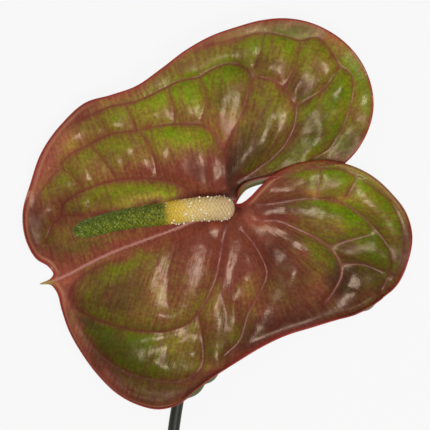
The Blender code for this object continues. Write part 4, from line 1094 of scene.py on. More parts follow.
# %% Painted shade, painted light and duller places
# Painted shade where the strength is above 0, painted light where it is below 0.
PAINTED_SHADE_AND_LIGHT = [
    (-42, -62, 26, 14, 0.75, -22), (-52, -36, 16, 9, 0.5, 20), (45, -28, 34, 20, 0.6, 15),
    (12, -48, 14, 8, 0.5, 20), (62, -12, 8, 20, 0.4), (20, -22, 9, 12, 0.35, 15),
    (10, 22, 14, 8, 0.45, 35), (30, 32, 12, 10, 0.3, 45), (10, 56, 12, 4, 0.3),
    (-10, -60, 8, 14, 0.4, -20), (26, 2, 16, 4, 0.35), (26, 46, 6, 6, 0.3), (67, -16, 4, 12, 0.4),
    (-30, -75, 18, 4, 0.5), (16, -51, 28, 4, 0.4, 18), (-56, -54, 18, 4, 0.4, -59),
    (-79, -9, 4, 7, 0.3), (22, 71, 14, 3, 0.3), (-42, 3, 20, 3.5, -0.7, 7),
    (-42, -13, 22, 4, -0.35, 18), (-70, -28, 7, 5, -0.6), (-67, -42, 10, 3, -0.4, -70),
    (-72, 22, 10, 4, -0.5, 60), (-25, 26, 16, 8, -0.2), (-34, 40, 14, 5, -0.2, 24),
    (5, -4, 6, 3, -0.5, -40), (-3, 35, 5, 8, -0.3, 60), (46, 22, 7, 5, 0.3, 45),
    (-69, 24, 8, 3, -0.6, 35), (0, 36, 3, 9, -0.5, 75), (-84, -8, 3, 9, 0.6),
    (70, -18, 3, 12, 0.6), (30, 28, 5, 5, 0.3), (7, 28, 13, 4, 0.4, 65), (43, 24, 9, 5, 0.3, 30),
    (-77, 14, 13, 3, -0.6, 65), (-38, 2, 20, 2.5, -0.7, 8), (44, -42, 12, 4, 0.4, 25),
    (-62, -16, 10, 3, 0.35, 10), (-45, -17, 26, 3, -0.4, 21), (-71, -30, 5, 4, -0.4),
    (35, -28, 5, 9, -0.4, -15), (-64, -54, 18, 2.5, -0.7, -58), (39, 67, 7, 3, -0.6, -42),
    (-12, -63, 6, 4, -0.5), (5, -34, 3, 8, -0.4), (-9, -39, 2.5, 6, -0.4),
    (21, 40, 2, 6, -0.7, -10), (-15, 40, 5, 5, -0.3), (-20, 26, 10, 6, -0.2),
    (-48, 43, 8, 3, -0.4, 15), (52, 4, 14, 4, -0.3, -50), (62, -12, 4, 12, -0.3),
    (43, -16, 3, 3, 0.4), (22, -2, 14, 2, 0.3), (44, 25, 7, 5, 0.3, 20), (31, 29, 6, 5, 0.3, 40),
    (28, 48, 5, 4, 0.4), (1, 58, 4, 6, 0.3), (-15, 14, 3, 6, 0.4, 20), (40, 45, 3, 4, 0.3),
    (24, -1, 14, 2, 0.4, -5), (30, 10, 9, 3, 0.3, 10), (-46, -40, 5, 3, 0.4),
    (-5, -45, 3, 4, 0.4), (22, -45, 12, 4, 0.35, 20), (12, -54, 8, 4, 0.4, 20),
    (-83, -6, 5, 9, 0.35), (18, 71, 14, 3, 0.25), (-25, -55, 6, 4, -0.5), (-10, -64, 5, 3, -0.4),
    (42, -8, 4, 2.5, -0.5), (34, -33, 4, 6, -0.35), (43, 3, 5, 2, -0.4), (31, 5, 3, 2, -0.4),
    (28, -33, 12, 9, -0.5), (18, -42, 5, 5, -0.4), (-83, -6, 4, 9, 0.4), (-66, 37, 9, 3, 0.4, 42),
    (-25, -11, 18, 3, -0.4, 20), (-57, 11, 8, 10, -0.25), (-65, 25, 7, 3, -0.25, 20),
    (-30, 40, 13, 6, -0.25, 22), (20, 60, 4, 8, -0.2), (16, 47, 4, 6, -0.25, 20),
    (34, 57, 8, 4, -0.25), (46, 42, 3, 8, -0.3), (-6, 42, 3, 7, 0.35), (8, -38, 3, 10, -0.3),
    (26, -19, 4, 3, -0.4), (33, 34, 5, 6, 0.3, 40), (45, 22, 8, 4, 0.25, 20),
    (22, 20, 10, 3, 0.3, 35), (-36, -64, 14, 4, -0.2), (26, 37, 3, 5, -0.2), (2, 30, 4, 8, 0.2),
    (13, -53, 12, 3, 0.3, 20), (3, -1, 3, 3, 0.3), (20, -34, 8, 9, 0.3), (45, -35, 4, 5, 0.35),
    (16, -52, 16, 3, 0.5, 18), (-84, -6, 3.5, 9, 0.5), (-68, 38, 11, 2.5, 0.5, 42),
    (31, 27, 3, 3, 0.5), (0, 43, 3, 4, 0.3), (25, 45, 3, 4, 0.35), (5, 8, 3, 2, 0.4, 45),
    (6, 14, 5, 6, 0.3), (-2, 14, 3, 6, 0.2), (50, 27, 3, 6, 0.3), (-38, -78, 8, 3, 0.3),
    (2, -58, 4, 5, -0.4), (-27, -71, 12, 3, -0.25), (62, -8, 4, 8, -0.3),
    (12, -7, 9, 2.5, -0.3, -20), (22, -49.5, 24, 4, 0.8, 19), (44, -36, 4, 6, 0.3, -20),
    (46, -34, 4, 3, 0.4), (58, -37, 7, 2.5, 0.4, 35), (22, 20, 8, 3, 0.35, 30),
    (50, 24, 6, 3, 0.35, 45), (3, 33, 3, 6, 0.3), (-5, 40, 4, 6, 0.2),
    (-69, 35, 10, 2.5, 0.35, 50), (-83, -8, 3, 8, 0.3, 20), (71, -17, 2.5, 9, 0.35, 10),
    (-36, -77, 7, 3, 0.25, -10), (17, -52, 12, 2.5, 0.4, 20), (40, 45, 3, 4, 0.25),
    (32, 6, 4, 6, -0.35), (44, 2, 7, 3, -0.3), (-50, -37, 5, 7, -0.3, -20),
    (-33, -32, 5, 8, -0.3), (-45, 12, 12, 5, -0.25, 5), (26, -21, 4, 5, -0.35),
    (66, -12, 3, 6, -0.3), (-25, 60, 7, 2.5, -0.4, 30), (-45, 46, 8, 3, -0.4, 25),
    (-6, 67, 8, 2.5, -0.3, 20), (-36, 21, 6, 5, -0.25), (34, 43, 4, 5, -0.25),
    (38, 69, 5, 2.5, -0.3, -35), (15, -46, 5, 4, -0.3, 20),
]
# Painted light: it lifts shadows, such as the spadix's on the blade, and adds highlights.
PAINTED_LIGHT = [
    (-38, 2.4, 16, 2.4, 0.9, 9), (-67, 27, 5, 3.5, 0.35, 30), (-29, 3.6, 4, 2, 0.5),
    (-70, -38, 8, 2.5, 0.5, -72), (40, 67, 8, 2.5, 0.5, -42), (-24, 60, 14, 1.8, 0.5, 30),
    (-45, 46, 10, 1.8, 0.4, 18), (-78, 12, 8, 2.5, 0.3, 65), (-68, -29, 6, 2.5, 0.4, 22),
    (-31, -32, 3, 8, 0.35, 5), (-50, -36, 5, 3, 0.3, 30), (-57, -66, 16, 1.5, 0.6, -50),
    (-21, -77, 5, 2, 0.5, 20), (-8, -7, 3, 2, 0.5), (31, 5, 3, 2, 0.3), (43, 3, 5, 2, 0.3),
    (7, -4, 6, 2, 0.15, -22), (31, 5, 3, 2.5, 0.3), (-67, 23, 4, 2.5, 0.4), (-9, 32, 3, 3, 0.4),
    (-5, 27, 2, 4, 0.4),
]
MATTE = [
    (26, 71, 9, 3.5, 1.0), (46, 58, 5, 4, 0.8), (48, 27, 7, 12, 0.5, -35), (-81, -7, 4, 8, 0.9),
    (68, -18, 3.5, 10, 0.9), (-25, -76, 9, 3, 0.9, 5), (-13, -73, 8, 3, 0.9, 35),
    (-14, 58, 10, 3, 0.8, 20), (-2, 36, 5, 12, 0.2), (31, 35, 7, 5, 0.4, 45),
    (25, 21, 8, 4, 0.5, 40), (27, 47, 3, 5, 0.6), (-15, 13, 4, 5, 0.5), (47, -16, 7, 3, 0.6),
    (30, 8, 7, 4, 0.4), (40, 10, 5, 3, 0.4), (40, -42, 16, 3, 0.2, 20), (-20, 64, 26, 4, 0.6, 27),
    (-60, -70, 14, 5, 0.4, -40), (20, -50, 16, 3, 0.35, 20), (40, -42.5, 12, 2.5, 0.3, 15),
]
print("deeper, lighter and duller places:", len(PAINTED_SHADE_AND_LIGHT), len(PAINTED_LIGHT), len(MATTE))

# %% Patches at any place
RAGGED = [(1.8, 6, 0), (0.8, 2.2, 1)]  # how far a wave pushes, its size and its layer


def patches(rows, places):
    """How strongly the patches cover each place, up to 1."""
    bare = np.ones(len(places))
    for x, y, long, short, strength, *turn in rows:
        bare *= 1 - strength * np.exp(-oval(places, x, y, long, short, *turn))
    return 1 - bare


def ragged(places):
    """The places, pushed about by noise, which gives the patches their uneven edges."""
    pushed = [
        [sum(push * noise.noise((x / size, y / size, z + layer)) for push, size, layer in RAGGED)
         for z in (3, 7)]
        for x, y in places
    ]
    return places + np.array(pushed)


# %% [markdown]
# ## Values on the mesh
#
# Working out hundreds of ovals and the nearest vein inside a material would make a huge
# graph. The mesh is fine enough to carry the result: one number at each point for each coat,
# which the material reads by its name. The lines along the veins and the rim come from the
# distance to the nearest one.

# %% Read and store values
def read_values(mesh, name):
    """One stored number for each point of a mesh."""
    values = np.zeros(len(mesh.vertices), np.float32)
    mesh.attributes[name].data.foreach_get("value", values)
    return values


def store_values(mesh, name, values):
    """Stores one number for each point of a mesh."""
    layer = mesh.attributes.new(name, "FLOAT", "POINT")
    layer.data.foreach_set("value", np.asarray(values, np.float32))


# %% The way of the grain
RIB_DIRECTION = 201.0  # degrees: the way of the midrib from the heart
UPPER_SLANT = 107.0  # degrees: the way of the side veins in the upper half
LOWER_SLANT = 255.0  # and in the lower one
FAN_REACH = 40.0  # millimetres from the heart at which a turn is measured


def grain_values(flat, side):
    """Places across and along the skin's grain: it leaves the midrib at a slant, side by
    side, and fans out from the heart beyond it."""
    slant = math.radians(UPPER_SLANT if side < 0 else LOWER_SLANT)
    rib_way = math.radians(RIB_DIRECTION)
    m = np.array([math.cos(rib_way), math.sin(rib_way)])
    d = np.array([math.cos(slant), math.sin(slant)])
    across, outward = np.linalg.solve(np.column_stack([m, d]), flat.T)
    reach = np.linalg.norm(flat, axis=1)
    turn = np.arctan2(flat[:, 1], flat[:, 0]) - slant
    turn = (turn + math.pi) % (2 * math.pi) - math.pi
    fanned = across < 0
    across[fanned] = -FAN_REACH * np.abs(turn[fanned])
    outward[fanned] = reach[fanned]
    return across, outward


# %% Lines along the veins and the rim
LINE_WIDTH = 0.48  # dark line along a vein
CREASE_WIDTH = 0.5  # its like along a crease, and the darkest that it gets
CREASE_MOST = 0.3
FLUSH_WIDTH = 1.2  # red flush beside a vein
RIB_HIGHLIGHT_WIDTH = 0.3  # painted highlight along the midrib, which starts between these two
RIB_HIGHLIGHT_STARTS = (-12, -20)
RIM_WIDTH = 2.2  # warm rim, red line at its edge and painted highlight further in
EDGE_WIDTH = 0.5
RIM_HIGHLIGHT_IN = 1.7


def vein_lines(half, places):
    """The dark line along each vein and crease, and the flush beside the veins."""
    away, firmness = nearest_vein(FIRM_MIDRIB + half.veins, places)
    faint, faint_firmness = nearest_vein(half.creases, places)
    veins = (0.35 + 0.65 * firmness) * hump(away, LINE_WIDTH)
    creases = np.minimum(12 * faint_firmness, CREASE_MOST) * hump(faint, CREASE_WIDTH)
    return np.maximum(veins, creases), (0.3 + 0.7 * firmness) * hump(away, FLUSH_WIDTH)


def rim_lines(flat, edge, on_upper):
    """The warm rim, the red line at its edge and the painted highlight beside it."""
    x, y = flat.T
    rim = hump(edge, RIM_WIDTH) * (1 - 0.5 * smooth_step(15, 30, x))
    # The painted highlight shows below the notch, at the pointed tip and round the lower left
    # rim.
    beside_notch = ~on_upper * smooth_step(3, 8, x) * smooth_step(-10, 2, y)
    left_end = np.maximum(smooth_step(-52, -66, x), ~on_upper * smooth_step(-10, -25, x))
    highlight = np.maximum(beside_notch, left_end) * hump(edge - RIM_HIGHLIGHT_IN, EDGE_WIDTH)
    return rim, hump(edge, EDGE_WIDTH), highlight


# %% Paint the spathe
UNEVEN_COATS = {
    "dark": PAINTED_SHADE, "red": RED, "pink_and_sheen": PINK_AND_SHEEN, "deep": PAINTED_SHADE_AND_LIGHT, "painted_light": PAINTED_LIGHT, "matte": MATTE,
}
EVEN_COATS = {
    "lime": LIME,
    "pale": PALE_AND_SHEEN,
    # The back: painted shade where it shows in the notch, green on its bumps past the lower rim.
    "notch": [(11.5, 10.5, 9, 4, 1.0, 25)],
    "bulge": [(x, y - 1, reach + 1, reach + 1, 1.0) for x, y, reach in BACK_BULGES]
    + [(8, 8.5, 7, 4, 0.5, 30)],
}


def paint_values(mesh):
    """Works out the patches, vein lines and rim for each point of the spathe."""
    flat = np.column_stack([read_values(mesh, "flat_x"), read_values(mesh, "flat_y")])
    edge = read_values(mesh, "from_edge")
    over_rib = flat[:, 1] > np.interp(flat[:, 0], *np.array(MIDRIB[::-1]).T)
    over_notch = flat[:, 1] > along(NOTCH_LINE, flat[:, 0])
    on_upper = np.where(flat[:, 0] > 0, over_notch, over_rib)
    uneven = ragged(flat)
    values = {name: patches(rows, uneven) for name, rows in UNEVEN_COATS.items()}
    values |= {name: patches(rows, flat) for name, rows in EVEN_COATS.items()}
    values |= {name: np.zeros(len(flat)) for name in ("green", "line", "flush")}
    for half, chosen, rows in ((upper, on_upper, GREEN_UPPER + OLIVE_UPPER),
                               (lower, ~on_upper, GREEN_LOWER + OLIVE_LOWER)):
        values["green"][chosen] = patches(rows, uneven[chosen])
        values["line"][chosen], values["flush"][chosen] = vein_lines(half, flat[chosen])
    # The pale, partly painted sheen, lies only on the vein lines.
    values["pale"] *= values["line"]
    from_rib, _ = nearest_vein(FIRM_MIDRIB, flat)
    # A painted highlight along the midrib's ridge.
    values["rib"] = hump(from_rib, RIB_HIGHLIGHT_WIDTH) * smooth_step(*RIB_HIGHLIGHT_STARTS, flat[:, 0])
    values["rim"], values["rim_line"], values["rim_highlight"] = rim_lines(flat, edge, on_upper)
    values["across"], values["outward"] = grain_values(flat, 1)
    for name, value in zip(("across", "outward"), grain_values(flat[on_upper], -1)):
        values[name][on_upper] = value
    for name, value in values.items():
        store_values(mesh, name, value)
        print(name, "mean:", round(float(value.mean()), 3))


paint_values(blade.data)

# %% [markdown]
# ## Materials from nodes
#
# A material is a small graph: values from the mesh and from noise are mixed, and the result
# goes into one Principled shader. A helper that makes a node and wires its inputs in one call
# keeps each graph as short as a recipe.

# %% Node helpers
def paint(red, green, blue):
    """A colour as a screen shows it, from 0 to 255, in the linear values of a shader."""
    channels = [c / 255 for c in (red, green, blue)]
    return (*[c / 12.92 if c <= 0.04045 else ((c + 0.055) / 1.055) ** 2.4 for c in channels], 1)


class Recipe:
    """A material's node graph, written as one call for each node."""

    def __init__(self, name):
        self.material = bpy.data.materials.new(name)
        self.material.use_nodes = True
        self.tree = self.material.node_tree
        self.shader = self.tree.nodes["Principled BSDF"]
        place = self.node("ShaderNodeTexCoord")
        self.place = place.outputs["Object"]

    def node(self, kind, inputs=(), **settings):
        """A new node with its settings made and its inputs set or wired."""
        made = self.tree.nodes.new(kind)
        for key, value in settings.items():
            setattr(made, key, value)
        for key, value in dict(inputs).items():
            self.set(made.inputs[key], value)
        return made

    def set(self, socket, value):
        """Wires an input to another node's output, or gives it a plain value."""
        if isinstance(value, bpy.types.NodeSocket):
            self.tree.links.new(value, socket)
        else:
            socket.default_value = value

    def value(self, name):
        """The number that the mesh's points carry under a name."""
        return self.node("ShaderNodeAttribute", attribute_name=name).outputs["Fac"]

    def scaled(self, size, stretch=(1, 1, 1)):
        """Places in the frame, counted in steps of size millimetres."""
        scale = tuple(s / (size * METRES) for s in stretch)
        return self.node("ShaderNodeMapping", {"Vector": self.place, "Scale": scale}).outputs[0]

    def waves(self, place, detail):
        """Noise whose lumps are about one step across."""
        return self.node(
            "ShaderNodeTexNoise", {"Vector": place, "Scale": 1.0, "Detail": detail}
        ).outputs["Fac"]

    def noise(self, size, detail=2.0, stretch=(1, 1, 1)):
        """Noise whose lumps are about size millimetres across."""
        return self.waves(self.scaled(size, stretch), detail)

    def grain(self, width, length, detail=2.0):
        """Noise in streaks along the grain of the spathe's skin."""
        across = self.math("DIVIDE", self.value("across"), width)
        outward = self.math("DIVIDE", self.value("outward"), length)
        place = self.node("ShaderNodeCombineXYZ", {0: across, 1: outward}).outputs[0]
        return self.waves(place, detail)

    def walls(self, size):
        """0 on the walls of cells that are about size millimetres across, rising inside."""
        place = self.scaled(size)
        wave = self.node("ShaderNodeTexNoise", {"Vector": place, "Scale": 1.5})
        bent = self.node(
            "ShaderNodeVectorMath", {0: wave.outputs["Color"], 1: (0.8, 0.8, 0.8), 2: place},
            operation="MULTIPLY_ADD",
        )
        return self.node(
            "ShaderNodeTexVoronoi", {"Vector": bent.outputs[0], "Scale": 1.0},
            feature="DISTANCE_TO_EDGE",
        ).outputs["Distance"]

    def math(self, operation, a, b=0.0, c=0.0, clamp=False):
        """The result of a sum with up to three numbers."""
        return self.node(
            "ShaderNodeMath", {0: a, 1: b, 2: c}, operation=operation, use_clamp=clamp
        ).outputs[0]

    def times(self, a, b):
        return self.math("MULTIPLY", a, b)

    def fade(self, value, low, high, start=0.0, end=1.0):
        """start below low, end above high and a soft change between."""
        return self.node(
            "ShaderNodeMapRange", {0: value, 1: low, 2: high, 3: start, 4: end},
            interpolation_type="SMOOTHSTEP",
        ).outputs[0]

    def mix(self, share, a, b, blend="MIX"):
        """Colour a with its share of colour b laid over it."""
        made = self.node("ShaderNodeMix", data_type="RGBA", blend_type=blend)
        self.set(made.inputs["Factor"], share)
        self.set(made.inputs["A"], a)
        self.set(made.inputs["B"], b)
        return made.outputs["Result"]

    def tint(self, colour, name, share, over):
        """A colour with another laid over it, as strongly as a stored value says."""
        return self.mix(self.times(self.value(name), share), colour, over)

    def tone(self, colour, value, low, high, start, end):
        """A colour times start where the value is low and times end where it is high."""
        return self.mix(1.0, colour, self.fade(value, low, high, start, end), "MULTIPLY")

    def ramp(self, value, stops):
        """The colour that stops of position and colour give a value."""
        made = self.node("ShaderNodeValToRGB", {"Fac": value})
        colours = made.color_ramp.elements
        colours[0].position, colours[0].color = stops[0]
        colours[1].position, colours[1].color = stops[-1]
        for position, colour in stops[1:-1]:
            colours.new(position).color = colour
        return made.outputs["Color"]

    def bump(self, height, depth, below=None):
        """Relief of about depth millimetres, on top of another bump if one is given."""
        inputs = {"Strength": 1.0, "Distance": depth * METRES, "Height": height}
        if below is not None:
            inputs["Normal"] = below
        return self.node("ShaderNodeBump", inputs).outputs["Normal"]

    def finish(self, **sockets):
        """Sets the shader's inputs and returns the material."""
        for name, value in sockets.items():
            self.set(self.shader.inputs[name.replace("_", " ")], value)
        return self.material


# %% [markdown]
# ## The skin of the spathe
#
# The upper face is waxy and glossy. Its colour runs from red-brown through olive to bright
# green as a patch gets stronger. Over that go the red flush, the painted shade of the dark
# hollows, a fine network of cells and streaks along the grain, then the vein lines, the
# painted shade and painted light, the pale veins with their painted sheen, the painted
# highlight along the midrib, the rim, the pink with its painted sheen, and the rim's red line
# and painted highlight. An image could hold all of it, but it would blur up close. Coats laid
# over each other in a graph stay sharp, and each can be changed alone.

# %% Ground colour of the upper face
def skin_ground(skin, streak):
    """Brown, olive and green, the flush, painted shade in the hollows, network and mottling."""
    level = skin.value("green")
    for wave, share in ((skin.noise(5, 3), 0.7), (skin.noise(0.9, 3), 0.4)):
        level = skin.math("MULTIPLY_ADD", skin.math("SUBTRACT", wave, 0.5), share, level)
    level = skin.math("MULTIPLY_ADD", streak, 0.8, level)
    level = skin.math("MULTIPLY_ADD", skin.value("red"), -0.5, level)
    colour = skin.ramp(level, [
        (0.0, paint(116, 56, 40)), (0.25, paint(121, 74, 42)), (0.5, paint(120, 96, 38)),
        (0.75, paint(119, 115, 22)), (1.0, paint(102, 125, 2)),
    ])
    colour = skin.tint(colour, "red", 0.5, paint(130, 64, 50))
    # Painted shade in the hollows and under folds.
    shade = skin.fade(skin.value("dark"), 0.0, 0.9, 0.0, 0.85)
    colour = skin.mix(shade, colour, paint(56, 34, 22))
    network = skin.fade(skin.walls(2.6), 0.0, 0.14, 0.16, 0.0)
    colour = skin.mix(network, colour, paint(96, 44, 32))
    colour = skin.tone(colour, skin.noise(1.2, 3), 0.3, 0.7, 0.8, 1.17)
    return skin.tone(colour, streak, -0.2, 0.2, 0.92, 1.08)


# %% Veins, tones and rim of the upper face
def skin_lines(skin, colour, streak):
    """Veins, painted shade and light, pale veins, painted highlights and rim over the ground."""
    colour = skin.tint(colour, "flush", 0.4, paint(112, 50, 40))
    colour = skin.tint(colour, "line", 0.9, paint(104, 34, 32))
    # Painted shade, and painted light where the strength is below 0.
    colour = skin.tone(colour, skin.value("deep"), -0.8, 1.0, 1.44, 0.45)
    # More painted light.
    colour = skin.tone(colour, skin.value("painted_light"), 0.0, 1.0, 1.0, 1.9)
    # Pale veins, partly painted sheen.
    colour = skin.tint(colour, "pale", 0.75, paint(170, 112, 98))
    # Painted highlight along the midrib.
    colour = skin.tint(colour, "rib", 0.85, paint(194, 142, 126))
    colour = skin.tint(colour, "rim", 0.5, paint(132, 48, 40))
    # Pink and painted sheen, broken up by the grain.
    streaked = skin.fade(streak, -0.1, 0.1, 0.3, 0.7)
    colour = skin.tint(colour, "pink_and_sheen", streaked, paint(152, 86, 68))
    # Painted highlight along the turned rim.
    colour = skin.tint(colour, "rim_highlight", 0.6, paint(188, 128, 96))
    colour = skin.tint(colour, "rim_line", 1.0, paint(146, 32, 32))
    return skin.tint(colour, "lime", 1.0, paint(160, 148, 60))


# %% Wax of the upper face
def waxy_skin():
    """The upper face: its colours, slight bumps under the wax, and duller lines and places."""
    skin = Recipe("waxy_skin")
    streak = skin.math("SUBTRACT", skin.grain(1.1, 9), 0.5)
    colour = skin_lines(skin, skin_ground(skin, streak), streak)
    relief = None
    for wave, depth in ((skin.noise(2.2, 3), 0.1), (skin.grain(2.4, 12, 2), 0.1),
                        (skin.grain(1.0, 5, 3), 0.06), (skin.noise(0.5, 2), 0.02)):
        relief = skin.bump(wave, depth, relief)
    rough = skin.fade(skin.noise(4, 2), 0.3, 0.7, 0.22, 0.32)
    for name, more in (("line", 0.1), ("matte", 0.3)):
        rough = skin.math("MULTIPLY_ADD", skin.value(name), more, rough)
    return skin.finish(
        Base_Color=colour, Roughness=rough, Normal=relief, Specular_IOR_Level=0.42,
        Specular_Tint=(1.0, 0.79, 0.6, 1),
    )


# %% [markdown]
# ## Edge and back
#
# The leaf's thin edge is a warm red line, seen only from close by. Its back has no wax: it is
# plain, pale and dull, with redder ribs and rim, painted shade where it shows in the notch,
# and greener where it shows past the rolled rim. The upper face's recipe could serve for
# both, but most of it would never be seen. So each has a short recipe of its own, and the
# back reads the same values as the upper face, which keeps its ribs under the real ones.

# %% Edge and underside materials
def warm_edge():
    """The thin edge all round the blade."""
    edge = Recipe("warm_edge")
    colour = edge.mix(edge.noise(6, 2), paint(132, 32, 30), paint(150, 54, 42))
    return edge.finish(Base_Color=colour, Roughness=0.4)


def pale_underside():
    """The back of the spathe."""
    under = Recipe("pale_underside")
    colour = under.mix(under.noise(6, 3), paint(112, 122, 52), paint(132, 128, 66))
    # The notch coat is painted shade on the back, where it shows through the notch.
    for name, share, over in (("red", 0.4, paint(130, 74, 56)), ("line", 1.0, paint(134, 70, 52)),
                              ("rim", 1.0, paint(136, 74, 46)), ("notch", 1.0, paint(48, 58, 34)),
                              ("rim_line", 1.0, paint(126, 40, 34)),
                              ("bulge", 1.3, paint(74, 86, 14))):
        colour = under.tint(colour, name, share, over)
    relief = under.bump(under.noise(0.8, 3), 0.05)
    return under.finish(Base_Color=colour, Roughness=0.5, Normal=relief)


for skin_material in (waxy_skin(), warm_edge(), pale_underside()):
    blade.data.materials.append(skin_material)
print("spathe materials:", [m.name for m in blade.data.materials])

# %% [markdown]
# ## The spadix
#
# Hundreds of tiny florets cover the spike in staggered rows, each a low four-sided cushion.
# Each could be a mesh of its own, but they grow together without a gap. So a flat grid is
# wrapped round the spike's curved middle line, and a formula lifts each floret's cushion out
# of it. The rows close on themselves all the way round.

# %% Middle line and girth of the spike
SPADIX_LINE = [
    (-1.3, -0.35, 16.35), (-5, -0.5, 18.7), (-10, -0.55, 21.45), (-20, -1.5, 26.05),
    (-30, -2.9, 29.85), (-40, -4.25, 32.85), (-50, -6.1, 35.25), (-60, -8.9, 37.25),
    (-64.6, -10.1, 38.05),
]
# Share of the spike's length, and of its full radius there.
SPADIX_GIRTH = [(0, 1.0), (0.3, 0.975), (0.55, 0.88), (0.8, 0.79), (1, 0.7)]
SPADIX_STEP = 0.25  # spacing of points on the middle line
SPADIX_RADIUS = 4.75
TIP_LENGTH = 7.0  # the spike rounds off over this much of its end
ENDS = (0.0005, 0.9995)  # the grid's ends stay just short of the spike's own
FLORETS_ROUND = 22
FLORET_LENGTH = 1.5  # along the spike, tip to tip of one cushion
FLORET_RISE = 0.42
GRID_ROUND = 132
GRID_ALONG = 300


def across(line):
    """Directions to the side of a line in space and upward from it."""
    ahead = np.gradient(line, axis=0)
    ahead /= np.linalg.norm(ahead, axis=1)[:, None]
    side = np.cross(ahead, (0, 0, 1))
    side /= np.linalg.norm(side, axis=1)[:, None]
    return side, np.cross(side, ahead)


# %% Wrap the grid and raise the florets
def cushion(p):
    """1 in the middle of a floret and 0 in the seams round it."""
    return 1 - np.abs(2 * (p % 1) - 1) ** 3


def make_spadix():
    """The wrapped grid, and how many rows of florets it has."""
    line = smooth_line(SPADIX_LINE, SPADIX_STEP)
    walked = walk(line)
    total = walked[-1]
    side, upward = across(line)
    spike = bmesh.new()
    uv = spike.loops.layers.uv.new("florets")
    bmesh.ops.create_grid(
        spike, x_segments=GRID_ROUND, y_segments=GRID_ALONG, size=0.5, calc_uvs=True
    )
    spike.verts.index_update()
    flat = np.array([v.co for v in spike.verts]) + 0.5
    angle = flat[:, 0] * 2 * math.pi
    near_ends = np.clip(flat[:, 1], *ENDS)
    at = near_ends * total
    girth = SPADIX_RADIUS * along(SPADIX_GIRTH, near_ends)
    base_end = np.clip(at / SPADIX_RADIUS, 0, 1)
    tip_end = np.clip((total - at) / TIP_LENGTH, 0, 1)
    round_off = np.sqrt(1 - (1 - base_end) ** 2) * np.sqrt(1 - (1 - tip_end) ** 2)
    turn = flat[:, 0] * FLORETS_ROUND
    row = at / FLORET_LENGTH
    lift = cushion(row + turn / 2) * cushion(row - turn / 2)
    radius = (girth + FLORET_RISE * (lift - 0.5)) * round_off
    middle, to_side, to_top = (read_at(at, walked, table) for table in (line, side, upward))
    out = to_side * np.cos(angle)[:, None] + to_top * np.sin(angle)[:, None]
    place = middle + out * radius[:, None]
    for face in spike.faces:
        for loop in face.loops:
            k = loop.vert.index
            loop[uv].uv = (turn[k], row[k])
    for vert, co in zip(spike.verts, place):
        vert.co = co
    bmesh.ops.remove_doubles(spike, verts=spike.verts[:], dist=0.01)
    bmesh.ops.holes_fill(spike, edges=[e for e in spike.edges if e.is_boundary])
    bmesh.ops.recalc_face_normals(spike, faces=spike.faces[:])
    print("spadix:", len(spike.faces), "faces, length", round(total, 1), "mm")
    return spike, total / FLORET_LENGTH


spike_mesh, SPIKE_ROWS = make_spadix()
spadix = place_piece(spike_mesh, "spadix_florets", "spadix")

# %% [markdown]
# ## White beads on the spike
#
# The ripe end of the spike carries small white beads of nectar, one on a floret here and
# there. Particles could scatter them, but a seeded generator always draws the same places.
# Each bead is a tiny sphere of 80 faces, set a third of its depth into the florets.

# %% Scatter the beads
BEADS = 85
BEAD_ZONE = (0.02, 0.43)  # share of the spike's length that carries them
BEAD_RADII = (0.16, 0.42)
BEAD_SEED = 11
BASE_SHARE = 0.06  # the spike's base rounds off over this share of its length


def make_beads():
    """All the beads in one mesh, each set into the spike at a place drawn by chance."""
    draw = np.random.default_rng(BEAD_SEED)
    line = smooth_line(SPADIX_LINE, SPADIX_STEP)
    side, upward = across(line)
    beads = bmesh.new()
    for _ in range(BEADS):
        part = draw.uniform(*BEAD_ZONE)
        k = int(part * (len(line) - 1))
        angle = draw.uniform(0, 2 * math.pi)
        size = draw.uniform(*BEAD_RADII)
        rounded = min(1, math.sqrt(part / BASE_SHARE))
        girth = SPADIX_RADIUS * along(SPADIX_GIRTH, part) * rounded
        out = side[k] * math.cos(angle) + upward[k] * math.sin(angle)
        place = line[k] + out * (girth + FLORET_RISE / 2 + size / 3)
        made = bmesh.ops.create_icosphere(beads, subdivisions=2, radius=size)
        bmesh.ops.translate(beads, verts=made["verts"], vec=Vector(place))
    return beads


nectar = place_piece(make_beads(), "nectar_beads")
print("nectar beads:", BEADS)

# %% [markdown]
# ## The finish of the spike
#
# The spike ripens from its base: cream, then yellow, then green to its point. Each floret has
# a seam round it and a paler spot, the stigma, in its middle. The grid's own map of rows and
# turns gives every place's distance from the middle of its floret, so seams and spots lie
# exactly where the relief has them, which no image would promise. A ramp along the spike
# gives the ripeness, and noise makes the florets unlike each other.

# %% The pattern of the florets
def from_floret_middle(spike, turn, row):
    """0 in the middle of a floret and 0.5 in the seam round it."""
    half_turn = spike.times(turn, 0.5)
    sides = []
    for operation in ("ADD", "SUBTRACT"):
        lattice = spike.math("FRACT", spike.math(operation, row, half_turn))
        sides.append(spike.math("ABSOLUTE", spike.math("SUBTRACT", lattice, 0.5)))
    return spike.math("MAXIMUM", *sides)


def ripeness(spike, row):
    """The colour along the spike, and how green it is."""
    share = spike.math("DIVIDE", row, SPIKE_ROWS)
    wander = spike.math("SUBTRACT", spike.noise(2.5, 3), 0.5)
    share = spike.math("MULTIPLY_ADD", wander, 0.05, share)
    colour = spike.ramp(share, [
        (0.0, paint(194, 166, 124)), (0.16, paint(208, 180, 128)), (0.3, paint(214, 186, 112)),
        (0.375, paint(212, 178, 60)), (0.425, paint(196, 162, 24)), (0.47, paint(128, 126, 8)),
        (0.75, paint(108, 118, 4)), (1.0, paint(106, 116, 6)),
    ])
    return colour, spike.fade(share, 0.425, 0.485)


